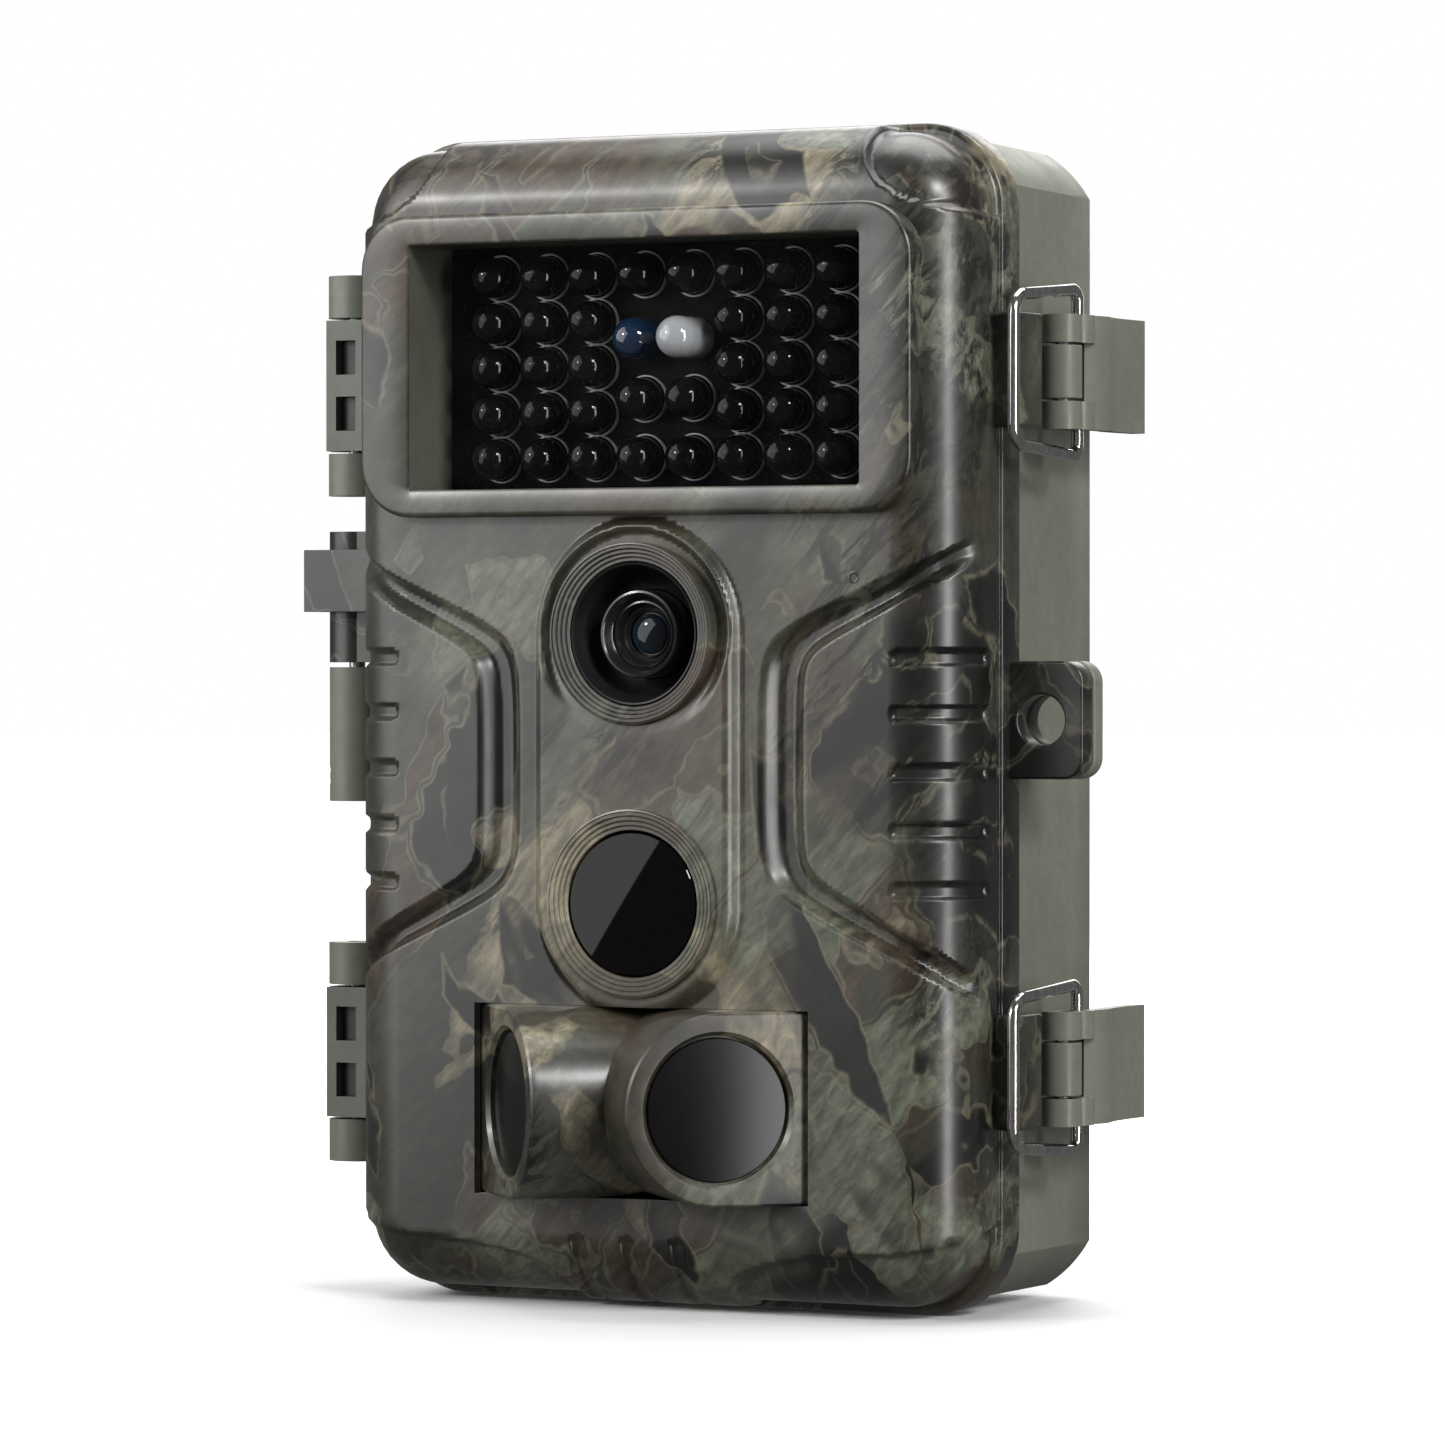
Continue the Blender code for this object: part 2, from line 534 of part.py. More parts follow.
def front_cover():
    cover = rounded_box("front_cover", FLANGE_HALF, (-FLANGE_DEPTH, -JOINT_GAP), (0, HEIGHT), CORNER, 0.6,
                        -FLANGE_DEPTH)
    body = rounded_box("cover_body", COVER_HALF, (FACE_Y, -3), (1.2, HEIGHT - 1.2), 9.3, 8.5, FACE_Y)
    band = cover_band(8.2)
    bezel = rounded_box("window_bezel", 37.3, (RIM_Y, FACE_Y + 2), (94.1, 130.1), 6.5, 1.2, RIM_Y)
    outline = (arc((0, LENS_Z), COLUMN_HALF, 0, 180, 16) + arc((0, PIR_Z), COLUMN_HALF, 180, 360, 16))
    column = plate("lens_column", [outline], RIM_Y + 0.6, FACE_Y + 2)
    rings = [rod("lens_ring", 10.8, (0, FACE_Y + 2, LENS_Z), (0, RIM_Y, LENS_Z), sides=36),
             rod("pir_ring", 11.2, (0, FACE_Y + 2, PIR_Z), (0, RIM_Y, PIR_Z), sides=36)]
    join(cover, body, band, bezel, column, *rings)
    for side in (-1, 1):
        cut(cover, pocket_groove(side))
        cut(cover, *[grip_slot(side, z) for z in (77.3, 70.8, 64.0, 57.2, 50.3)])
    cavity = rounded_box("cover_inside", COVER_HALF - 1.6, (FACE_Y + FRONT_WALL, 1), (2.8, HEIGHT - 2.8), 8.2,
                         6, FACE_Y + FRONT_WALL)
    cut(cover, cavity)
    light_box = box("light_box", (-32.2, FACE_Y + 1, WINDOW_LOW - 2),
                    (32.2, LAMP_BOARD_Y - GAP, WINDOW_HIGH + 2))
    lens_tube = rod("lens_tube", 10.4, (0, FACE_Y + 1, LENS_Z), (0, -12.4, LENS_Z), sides=36)
    join(cover, light_box, lens_tube)
    cut(cover, box("window_hole", (-WINDOW_HALF, RIM_Y - 1, WINDOW_LOW), (WINDOW_HALF, -8, WINDOW_HIGH)),
        rod("lens_hole", LENS_HOLE, (0, RIM_Y - 1, LENS_Z), (0, -11, LENS_Z), sides=36),
        rod("pir_hole", PIR_HOLE, (0, RIM_Y - 1, PIR_Z), (0, -13, PIR_Z), sides=36),
        box("side_sensor_hole", (-20.6, RIM_Y - 1, SIDE_Z - 8.6), (20.6, -13, SIDE_Z + 8.6)),
        box("housing_seat", (-22.8, RIM_Y - 1, SIDE_Z - SIDE_BARREL - GAP),
            (22.8, SIDE_SEAT_Y, SIDE_Z + SIDE_BARREL + GAP)))
    for name, (low, high) in HINGE_LEAVES.items():
        solid, pockets = cover_hinge_leaf(name, low, high)
        join(cover, *solid)
        cut(cover, *pockets)
    join(cover, *cover_centre_knuckle())
    join(cover, *[catch_block(name, middle) for name, middle in LATCH_MIDDLES.items()])
    join(cover, lock_tab("cover_lock_tab", (-3.1, -JOINT_GAP - 0.15)))
    cut(cover, pin_bore("hinge_bore_cover", HINGE_X, HINGE_Y, (-1, CENTRE_KNUCKLE[1] - 1.4)),
        pin_bore("hinge_bore_upper", HINGE_X, HINGE_Y, (96, HEIGHT)))
    return finish(cover, "camo_plastic")


def side_direction(side):
    return Vector((side * sin(radians(SIDE_ANGLE)), -cos(radians(SIDE_ANGLE)), 0))


def side_tongue(side):
    """One half of the housing: round towards the middle, with straight edges that run outwards."""
    outline = (arc((0, 0), SIDE_BARREL, 90, 270, 18) + [(16, -SIDE_BARREL), (16, SIDE_BARREL)])
    tongue = plate(f"side_tongue_{side}", [[(side * a, z) for a, z in outline]], 0, 20)
    turn = Matrix.Rotation(side * radians(90 - SIDE_ANGLE), 4, "Z")
    place = Matrix.Translation(Vector((side * SIDE_X, SIDE_Y, SIDE_Z)) * MM)
    tongue.data.transform(place @ turn)
    return tongue


def side_sensor_housing():
    """The moulding whose two faces look to either side, sunk a little into the cover's face."""
    back = SIDE_SEAT_Y - GAP
    housing = join(side_tongue(-1), side_tongue(1))
    housing.name = "side_sensor_housing"
    cut(housing, box("side_back", (-40, back, 0), (40, 20, 50)))
    for side in (-1, 1):
        front = Vector((side * SIDE_X, SIDE_Y, SIDE_Z))
        away = side_direction(side)
        seat = rod(f"side_seat_{side}", SIDE_WINDOW + GAP, front - away * 1.5, front + away * 2, sides=36)
        cut(housing, seat, rod(f"side_bore_{side}", 7.4, front - away * 14, front - away, sides=24))
    return finish(housing, "camo_plastic")


# ---------------------------------------------------------------- lamps, lens and sensors

def lamp(name, x, z, board_depth=0.6):
    return rod(name, LAMP_RADIUS, (x, LAMP_BOARD_Y + board_depth, z), (x, LAMP_FRONT, z), sides=8,
               end_radius=LAMP_RADIUS - 0.6)


def lamp_places():
    for column in range(8):
        x = LAMP_PITCH_X * (column - 3.5)
        rows = LAMP_ROWS if abs(x) > LAMP_PITCH_X else (LAMP_ROWS[0], 108.1, LAMP_ROWS[4])
        for z in rows:
            yield x, z


def lamp_board():
    board = box("led_board", (-32, LAMP_BOARD_Y, 95.5), (32, LAMP_BOARD_Y + 1.6, 128.4))
    lamps = [lamp(f"lamp_{i}", x, z) for i, (x, z) in enumerate(lamp_places())]
    join(board, *lamps)
    blue = finish(lamp("led_blue", -LAMP_PITCH_X / 2, INDICATOR_Z, -GAP), "blue_lamp")
    white = finish(lamp("led_white", LAMP_PITCH_X / 2, INDICATOR_Z, -GAP), "white_lamp")
    pane = box("led_window", (-WINDOW_HALF + GAP, -17.8, WINDOW_LOW + GAP),
               (WINDOW_HALF - GAP, -16.6, WINDOW_HIGH - GAP))
    return [finish(board, "smoked_lamp"), blue, white, finish(pane, "clear_plastic")]


def lens():
    """The hood, the barrel with its front lens, and the camera board behind it."""
    centre = (0, 0, LENS_Z)
    hood_profile = [(8.3, 19.3), (8.3, 12.6), (5.7, 12.6), (5.7, 13.6), (7.9, 19.3), (8.3, 19.3)]
    barrel_profile = [(0, 13.6), (3.9, 13.6), (3.9, 15.0), (4.7, 15.6), (5.3, 15.0), (5.3, 10.8), (0, 10.8)]
    glass_profile = [(0, 15.1), (1.3, 15.0), (2.5, 14.7), (3.5, 14.2), (3.5, 13.9), (0, 13.9)]
    hood = turned("lens_hood", hood_profile, centre)
    barrel = turned("lens_barrel", barrel_profile, centre)
    glass = turned("lens_element", glass_profile, centre)
    board = box("camera_board", (-9, -10.5, LENS_Z - 9), (9, -8.9, LENS_Z + 9))
    return [finish(hood, "black_plastic"), finish(barrel, "black_plastic"), finish(glass, "lens_glass"),
            finish(board, "circuit_board")]


def motion_sensors():
    """The three windows and the sensor cans behind them."""
    window_profile = [(0, 19.9), (5.0, 19.8), (8.4, 19.4), (8.4, 18.6), (0, 18.6)]
    front_can = rod("pir_sensor_front", 4.5, (0, -13.0, PIR_Z), (0, -8.6, PIR_Z), sides=20)
    pieces = [finish(turned("pir_window_front", window_profile, (0, 0, PIR_Z)), "sensor_film"),
              finish(front_can, "sensor_can")]
    for name, side in (("left", -1), ("right", 1)):
        away = side_direction(side)
        front = Vector((side * SIDE_X, SIDE_Y, SIDE_Z))
        window = turned(f"pir_window_{name}", [(0, -0.3), (5.0, -0.4), (SIDE_WINDOW, -0.7),
                                               (SIDE_WINDOW, -1.2), (0, -1.2)], front, away)
        can = rod(f"pir_sensor_{name}", 4.5, front - away * 12.5, front - away * 9, sides=20)
        pieces += [finish(window, "sensor_film"), finish(can, "sensor_can")]
    return pieces


# ---------------------------------------------------------------- boards and controls

def main_board():
    """The board with what is soldered to it: the slide switch's body, the USB socket and a microphone."""
    board = box("main_board", (-35, BOARD_Y[0], 8), (35, BOARD_Y[1], 93))
    switch = box("switch_body", (SWITCH_X - 4, BOARD_Y[1] - 0.5, SWITCH_Z - 4),
                 (SWITCH_X + SWITCH_TRAVEL + 4, -4.9, SWITCH_Z + 4))
    usb = box("usb_socket", (-24, BOARD_Y[1] - 0.5, 76), (-16, -3.2, 85))
    microphone = rod("microphone", 2.0, (28.4, BOARD_Y[0] + 0.5, 86.6), (28.4, -11.0, 86.6), sides=12)
    join(board, switch, usb, microphone)
    return finish(board, "circuit_board")


def inner_panel():
    """The fascia that closes the cover's back, with holes for the display, keys, switch and card."""
    edge = COVER_HALF - 1.6 - 0.4
    holes = [rounded_outline((-21, 97), (21, 127), 1.0, steps=2),
             rounded_outline((-33, 6.5), (-6, 25.5), 1.0, steps=2),
             rounded_outline((SWITCH_X - 2.4, SWITCH_Z - 2.2),
                             (SWITCH_X + SWITCH_TRAVEL + 2.4, SWITCH_Z + 2.2), 1.0, steps=2)]
    holes += [circle_outline(place, KEY_RADIUS + GAP) for place in KEYS.values()]
    holes += [circle_outline(place, 1.9, steps=12) for place in PANEL_SCREWS]
    outline = rounded_outline((-edge, 3.2), (edge, HEIGHT - 3.2), 10.6)
    return finish(plate("inner_panel", [outline] + holes, *PANEL_Y), "black_plastic")


def panel_screws():
    pieces = []
    profile = [(0, 0.3), (1.3, 0.2), (1.6, -0.3), (1.6, -0.7), (0.9, -0.9), (0.9, -4.0), (0, -4.0)]
    for i, (x, z) in enumerate(PANEL_SCREWS):
        screw = turned(f"panel_screw_{i + 1}", profile, (x, PANEL_Y[1], z), Y_AXIS, steps=12)
        pieces.append(finish(screw, "steel"))
    return pieces


def display():
    return finish(box("display", (-25, -5.9, 94.5), (25, PANEL_Y[0] - GAP, 130), bevel=0.3), "display_glass")


def speaker():
    cone = rod("speaker", 8.0, (-22, -12.0, 24), (-22, BOARD_Y[0] - GAP, 24), sides=24)
    return finish(cone, "black_plastic")


def card_socket():
    """The memory card's socket, open at its lower end."""
    low, high = CARD_LOW, CARD_HIGH
    socket = box("card_socket", (low.x - 1.2, -6.5, 26), (high.x + 1.2, -2.9, high.z + 1.2))
    slot = box("card_slot", (low.x - GAP, low.y - GAP, 20), (high.x + GAP, high.y + GAP, high.z + GAP))
    return finish(cut(socket, slot), "steel")


def memory_card():
    """A full-size memory card with one cut corner."""
    low, high = CARD_LOW, CARD_HIGH
    notch = 4.0
    outline = [(low.x, low.z), (high.x, low.z), (high.x, high.z), (low.x + notch, high.z),
               (low.x, high.z - notch)]
    card = finish(plate("memory_card", [outline], low.y, high.y), "card_plastic")
    pivot("axis_memory_card", (low + high) / 2, [card])
    return card


def keys():
    """Rubber keys, each with a lip behind the panel."""
    pieces = []
    lip = 4.1
    profile = [(0, 1.3), (2.6, 1.2), (KEY_RADIUS, 0.7), (KEY_RADIUS, -2.2), (lip, -2.2), (lip, -3.0),
               (0, -3.0)]
    for name, (x, z) in KEYS.items():
        key = turned(name, profile, (x, PANEL_Y[1], z), Y_AXIS, steps=14)
        pieces.append(finish(key, "key_rubber"))
    return pieces


def mode_switch():
    knob = box("mode_switch", (SWITCH_X - 2, -4.6, SWITCH_Z - 1.8), (SWITCH_X + 2, 0.5, SWITCH_Z + 1.8),
               bevel=0.4)
    finish(knob, "key_rubber")
    pivot("axis_mode_switch", (SWITCH_X, 0, SWITCH_Z), [knob])
    return knob


def cover_assembly():
    moving = [front_cover(), side_sensor_housing(), main_board(), inner_panel(), display(), speaker(),
              card_socket()]
    moving += lamp_board() + lens() + motion_sensors() + panel_screws()
    hinge = pivot("axis_cover", (HINGE_X, HINGE_Y, HEIGHT / 2), moving)
    carried = keys() + [mode_switch().parent, memory_card().parent]
    for piece in carried:
        piece.parent = hinge
        piece.matrix_parent_inverse = hinge.matrix_world.inverted()


# ---------------------------------------------------------------- power

def battery_tray():
    """Two bays, one above the other, each for four cells side by side."""
    half = CELL_PITCH * 2 + 0.9
    low, high = BAY_LOW - 1.2, HEIGHT - BAY_LOW + 1.2
    tray = box("battery_tray", (-half - 1.2, 9, low), (half + 1.2, CASE_BACK - WALL - GAP, high))
    for middle in BAY_MIDDLES:
        bottom, top = middle - BAY_LENGTH / 2, middle + BAY_LENGTH / 2
        cut(tray, box(f"bay_{middle}", (-half, 4, bottom), (half, 20.8, top)))
    finish(tray, "black_plastic")


def cell(name, x, middle, up):
    """One AA cell with its terminal, standing on its flat end or turned over."""
    half, nub = CELL_LENGTH / 2, 1.4
    profile = [(0, half + nub), (2.6, half + nub), (2.6, half), (6.4, half), (CELL_RADIUS, half - 0.6),
               (CELL_RADIUS, 0.6 - half), (6.4, -half), (0, -half)]
    finish(turned(name, profile, (x, CELL_Y, middle + up * 0.1), Z_AXIS * up, steps=14), "cell_jacket")


def spring_bump(name, x, z, up):
    """A pressed tongue that pushes on a cell's flat end."""
    return rod(name, 3.2, (x, CELL_Y, z), (x, CELL_Y, z + up * 1.9), sides=8, end_radius=1.6)


def contact_strip(name, z, up, bumps):
    """A plate across one end of a bay. Up is the way it faces."""
    half = CELL_PITCH * 2
    strip = box(name, (-half, 9.5, min(z, z + up * 0.5)), (half, 18.5, max(z, z + up * 0.5)))
    if bumps:
        columns = [CELL_PITCH * (i - 1.5) for i in range(4)]
        join(strip, *[spring_bump(f"{name}_{i}", x, z + up * 0.2, up) for i, x in enumerate(columns)])
    finish(strip, "contact_plate")


def power():
    battery_tray()
    for row, middle in enumerate(BAY_MIDDLES):
        ends = middle - BAY_LENGTH / 2 + GAP, middle + BAY_LENGTH / 2 - GAP
        place = ("lower", "upper")[row]
        contact_strip(f"contact_spring_{place}", ends[0], 1, True)
        contact_strip(f"contact_plate_{place}", ends[1], -1, False)
        for column in range(4):
            cell(f"aa_cell_{row * 4 + column + 1}", CELL_PITCH * (column - 1.5), middle, 1)


rear_case()
case_seal()
tripod_insert()
pins()
latches()
power()
cover_assembly()
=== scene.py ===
"""The looks of the trail camera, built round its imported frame.

Lengths are in millimetres, in the frame's own axes: +Z is up, the camera looks along -Y, and the
front cover meets the rear case at Y = 0. Each mesh is scaled to metres as it is made.
"""
import json
from math import cos, pi, radians, sin

import bmesh
import bpy
import numpy as np
from mathutils import Matrix, Vector


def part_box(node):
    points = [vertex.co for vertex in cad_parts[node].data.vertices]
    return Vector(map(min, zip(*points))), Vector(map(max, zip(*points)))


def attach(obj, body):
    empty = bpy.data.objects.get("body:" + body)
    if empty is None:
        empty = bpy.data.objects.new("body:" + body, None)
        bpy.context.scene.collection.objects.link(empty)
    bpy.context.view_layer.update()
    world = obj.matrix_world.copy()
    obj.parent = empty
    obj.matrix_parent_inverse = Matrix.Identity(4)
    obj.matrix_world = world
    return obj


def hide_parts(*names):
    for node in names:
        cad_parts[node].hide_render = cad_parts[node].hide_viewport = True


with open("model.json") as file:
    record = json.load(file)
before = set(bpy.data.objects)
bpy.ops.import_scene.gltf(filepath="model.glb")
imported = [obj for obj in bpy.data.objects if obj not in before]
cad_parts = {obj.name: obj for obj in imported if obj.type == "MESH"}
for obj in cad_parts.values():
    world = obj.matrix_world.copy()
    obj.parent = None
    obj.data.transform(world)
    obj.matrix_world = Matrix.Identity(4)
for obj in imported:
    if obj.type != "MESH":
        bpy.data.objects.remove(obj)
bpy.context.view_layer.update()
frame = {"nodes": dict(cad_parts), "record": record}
NODES = frame["nodes"]
JOINTS = {joint["name"]: joint for joint in frame["record"]["behaviour"]["joints"]}
MM = 0.001


def node_box(name):
    """A CAD node's lowest and highest corners in millimetres."""
    low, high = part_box(name)
    return Vector(low) / MM, Vector(high) / MM


# driving sizes, from the frame
COVER_LOW, COVER_HIGH = node_box("front_cover")
HEIGHT = COVER_HIGH.z
RIM_Y = COVER_LOW.y
WINDOW_LOW, WINDOW_HIGH = node_box("led_window")
PIR_LOW, PIR_HIGH = node_box("pir_window_front")
PIR_Z = (PIR_LOW.z + PIR_HIGH.z) / 2
HOOD_LOW, HOOD_HIGH = node_box("lens_hood")
LENS_Z = (HOOD_LOW.z + HOOD_HIGH.z) / 2
CASE_BACK = node_box("rear_case")[1].y
HOUSING_LOW, HOUSING_HIGH = node_box("side_sensor_housing")
HINGE = Vector(JOINTS["cover_hinge"]["pos_m"]) / MM
GAP = 0.3

FLAT_HALF = 32.8             # half width of the cover's flat face
FLAT_LOW = 9.0
FLAT_HIGH = HEIGHT - FLAT_LOW
FLAT_CORNER = 1.5
FACE_Y = RIM_Y + 2.4
ROUND = 8.5                  # radius of the cover's front edge
FLANGE_Y = -5.0
FLANGE_STEP = (0.2, 0.5)     # the flange stands this far out from the cover's sides, and from its ends
INNER_Y = FACE_Y + 3.4
WINDOW_HALF = 30.2
WINDOW_Z = (WINDOW_LOW.z - GAP, WINDOW_HIGH.z + GAP)
BEZEL_HALF, BEZEL_Z, BEZEL_CORNER = 36.9, (94.05, 130.15), 6.5
COLUMN_HALF = 14.0
HOLE_RADIUS = 9.7            # holes of the shell behind the lens ring and the sensor ring
SEAT_HALF = 22.45            # the opening that the side sensors' housing fills
SEAT_Z = (HOUSING_LOW.z - 0.05, HOUSING_HIGH.z + 0.05)
SIDE_X, SIDE_Y = 14.3, -24.33
SIDE_Z = (HOUSING_LOW.z + HOUSING_HIGH.z) / 2
SIDE_BARREL = (HOUSING_HIGH.z - HOUSING_LOW.z) / 2
SIDE_WINDOW = 8.45
LAMP_PITCH = 6.6
LAMP_ROWS = (101.1, 106.5, 112.0, 117.4, 122.9)
INDICATOR_Z = 115.2
LATCHES = {name: JOINTS[f"lever_{name}_hinge"]["pos_m"][2] / MM for name in ("upper", "lower")}
LEVER_PIN = Vector(JOINTS["lever_upper_hinge"]["pos_m"]).xy / MM
BAIL_PIN = Vector(JOINTS["bail_upper_pivot"]["pos_m"]).xy / MM
KNUCKLE = 3.4
HINGE_LEAVES = {"upper": (102.7, 118.8), "lower": (20.7, 36.7)}
PIN_BORE = 1.3
LOCK_TAB_Z = (63.1, 76.9)
LOCK_HOLE = (45.5, 70.0)
MICROPHONE = (28.4, 0, 86.6)
Y_AXIS, Z_AXIS = Vector((0, 1, 0)), Vector((0, 0, 1))


# -------- materials

def add_node(tree, kind, inputs=None, **settings):
    """A node with its settings. An input that is a socket is linked, anything else is its value."""
    node = tree.nodes.new("ShaderNode" + kind)
    for key, value in settings.items():
        setattr(node, key, value)
    for key, value in (inputs or {}).items():
        if isinstance(value, bpy.types.NodeSocket):
            tree.links.new(value, node.inputs[key])
        else:
            node.inputs[key].default_value = value
    return node


def new_material(name, roughness=0.4, metallic=0.0, **constants):
    material = bpy.data.materials.new(name)
    material.use_nodes = True
    shader = material.node_tree.nodes["Principled BSDF"]
    shader.inputs["Roughness"].default_value = roughness
    shader.inputs["Metallic"].default_value = metallic
    for key, value in constants.items():
        shader.inputs[key.replace("_", " ")].default_value = value
    return material, material.node_tree, shader


def place(tree, scale=(1, 1, 1), turn=(0, 0, 0), shift=(0, 0, 0)):
    """Object coordinates, moved, turned and then stretched by scale."""
    where = add_node(tree, "TexCoord").outputs["Object"]
    turned_to = tuple(radians(a) for a in turn)
    inputs = {"Vector": where, "Scale": scale, "Rotation": turned_to, "Location": shift}
    return add_node(tree, "Mapping", inputs, vector_type="TEXTURE").outputs[0]


def noise(tree, where, scale, detail=3.0, rough=0.55, warp=0.0):
    inputs = {"Vector": where, "Scale": scale, "Detail": detail, "Roughness": rough, "Distortion": warp}
    return add_node(tree, "TexNoise", inputs).outputs[0]


def band(tree, value, low, high, to_low=0.0, to_high=1.0):
    """Value mapped smoothly from low..high to to_low..to_high, and held outside."""
    inputs = {0: value, 1: low, 2: high, 3: to_low, 4: to_high}
    return add_node(tree, "MapRange", inputs, interpolation_type="SMOOTHSTEP").outputs[0]


def patches(tree, stretch, turn, shift, size, low, high, detail=4, rough=0.55, warp=0.0):
    """Where the noise of a stretched and turned pattern is high: 0 below low, 1 above high."""
    where = place(tree, (1, 1, stretch), (0, turn, 0), shift)
    return band(tree, noise(tree, where, size, detail, rough, warp), low, high)


def mix(tree, factor, first, second, blend="MIX"):
    node = add_node(tree, "Mix", {0: factor, 6: first, 7: second}, data_type="RGBA", blend_type=blend)
    return node.outputs[2]


def maths(tree, operation, first, second=0.0):
    return add_node(tree, "Math", {0: first, 1: second}, operation=operation).outputs[0]


def times(tree, first, second):
    return maths(tree, "MULTIPLY", first, second)


def feed(tree, shader, socket, value):
    tree.links.new(value, shader.inputs[socket])


def bump(tree, shader, height, strength, distance=0.0002):
    inputs = {"Height": height, "Strength": strength, "Distance": distance}
    feed(tree, shader, "Normal", add_node(tree, "Bump", inputs).outputs[0])


def rgba(red, green, blue):
    return (red, green, blue, 1.0)


CAMO = {
    "base": rgba(0.042, 0.045, 0.034),
    "moss": rgba(0.020, 0.024, 0.016),
    "sage": rgba(0.105, 0.115, 0.080),
    "tan": rgba(0.20, 0.175, 0.115),
    "brown": rgba(0.052, 0.037, 0.024),
    "dark": rgba(0.005, 0.005, 0.004),
}


def leaves(tree, colour, size, turn, shift, share, swirl, fibres):
    """Long leaves with thin pale edges laid over a colour, on a share of the cells of a stretched pattern."""
    spot = place(tree, size, (0, turn, 0), shift)
    warped = add_node(tree, "VectorMath", {0: spot, 1: swirl}, operation="ADD").outputs[0]
    cell = add_node(tree, "TexVoronoi", {"Vector": warped, "Scale": 1.0})
    edge = add_node(tree, "TexVoronoi", {"Vector": warped, "Scale": 1.0},
                    feature="DISTANCE_TO_EDGE").outputs["Distance"]
    pick = add_node(tree, "SeparateColor", {0: cell.outputs["Color"]})
    leaf = maths(tree, "LESS_THAN", pick.outputs[0], share)
    tone = mix(tree, maths(tree, "GREATER_THAN", pick.outputs[1], 0.30), CAMO["dark"], CAMO["brown"])
    tone = mix(tree, maths(tree, "GREATER_THAN", pick.outputs[1], 0.55), tone, CAMO["sage"])
    tone = mix(tree, maths(tree, "GREATER_THAN", pick.outputs[1], 0.80), tone, CAMO["tan"])
    tone = mix(tree, 1.0, tone, band(tree, fibres, 0.30, 0.68, 0.55, 1.35), "MULTIPLY")
    rib = maths(tree, "ABSOLUTE", maths(tree, "SUBTRACT", edge, 0.34))
    tone = mix(tree, band(tree, rib, 0.03, 0.0, 0.0, 0.35), tone, CAMO["tan"])
    body = times(tree, leaf, band(tree, edge, 0.01, 0.08))
    fade = band(tree, noise(tree, spot, 1.3, 2), 0.34, 0.52, 0.25, 1.0)
    colour = mix(tree, times(tree, body, fade), colour, tone)
    line = times(tree, band(tree, edge, 0.008, 0.022), band(tree, edge, 0.055, 0.030))
    line = times(tree, times(tree, line, leaf), fade)
    return mix(tree, times(tree, line, 0.40), colour, CAMO["tan"])


def camo():
    """A dipped woodland film: mossy ground tones, leaves with pale edges, and strokes of dark bark."""
    material, tree, shader = new_material("camo_film", Coat_Weight=0.45, Coat_Roughness=0.25)
    colour = mix(tree, patches(tree, 1.6, 25, (0, 0, 0), 42, 0.40, 0.62, 5), CAMO["moss"], CAMO["base"])
    pale = patches(tree, 1.8, 35, (3, 1, 2), 34, 0.53, 0.66, 5, warp=0.5)
    colour = mix(tree, times(tree, pale, 0.75), colour, CAMO["sage"])
    earth = patches(tree, 1.5, -30, (8, 2, 5), 30, 0.50, 0.60, warp=0.8)
    colour = mix(tree, times(tree, earth, 0.75), colour, CAMO["brown"])
    swirl = times(tree, noise(tree, place(tree), 34, 4, 0.6), 1.9)
    fibres = noise(tree, place(tree, (1, 1, 5), (0, 38, 0)), 620, 4, 0.65, 0.6)
    colour = leaves(tree, colour, (0.011, 0.030, 0.030), 38, (0.31, 0.1, 0.14), 0.42, swirl, fibres)
    colour = leaves(tree, colour, (0.008, 0.030, 0.022), -34, (0.83, 0.2, 0.47), 0.30, swirl, fibres)
    bark_place = patches(tree, 1.5, 40, (7, 3, 5), 30, 0.49, 0.58, 3)
    streak = patches(tree, 5, 42, (0, 0, 0), 420, 0.46, 0.56, 6, 0.72, 0.9)
    bark = times(tree, bark_place, streak)
    colour = mix(tree, times(tree, bark, 0.92), colour, CAMO["dark"])
    scratches = noise(tree, place(tree, (1, 1, 3), (0, 50, 0), (1, 4, 2)), 900, 5, 0.7)
    scuff = band(tree, scratches, 0.30, 0.72, 0.72, 1.30)
    colour = mix(tree, 1.0, colour, scuff, "MULTIPLY")
    feed(tree, shader, "Base Color", colour)
    rough = band(tree, noise(tree, place(tree), 160, 4), 0.3, 0.7, 0.33, 0.45)
    feed(tree, shader, "Roughness", rough)
    bump(tree, shader, noise(tree, place(tree), 900, 2), 0.04)
    return material


def moulded(name, colour, roughness=0.42, metallic=0.0, grain=700.0, depth=0.12, spread=0.10, **constants):
    """A moulded, cast or rolled finish: slow and fine variation in colour, roughness and height."""
    material, tree, shader = new_material(name, roughness, metallic, **constants)
    slow = band(tree, noise(tree, place(tree), 40, 3), 0.3, 0.7, 1 - spread, 1 + spread)
    fine = band(tree, noise(tree, place(tree), grain, 3), 0.3, 0.7, 1 - spread / 2, 1 + spread / 2)
    tint = times(tree, slow, fine)
    feed(tree, shader, "Base Color", mix(tree, 1.0, rgba(*colour), tint, "MULTIPLY"))
    rough = band(tree, noise(tree, place(tree, shift=(2, 5, 1)), grain / 4, 4), 0.3, 0.7,
                 roughness * 0.85, min(roughness * 1.2, 1.0))
    feed(tree, shader, "Roughness", rough)
    bump(tree, shader, noise(tree, place(tree), grain, 2), depth)
    return material


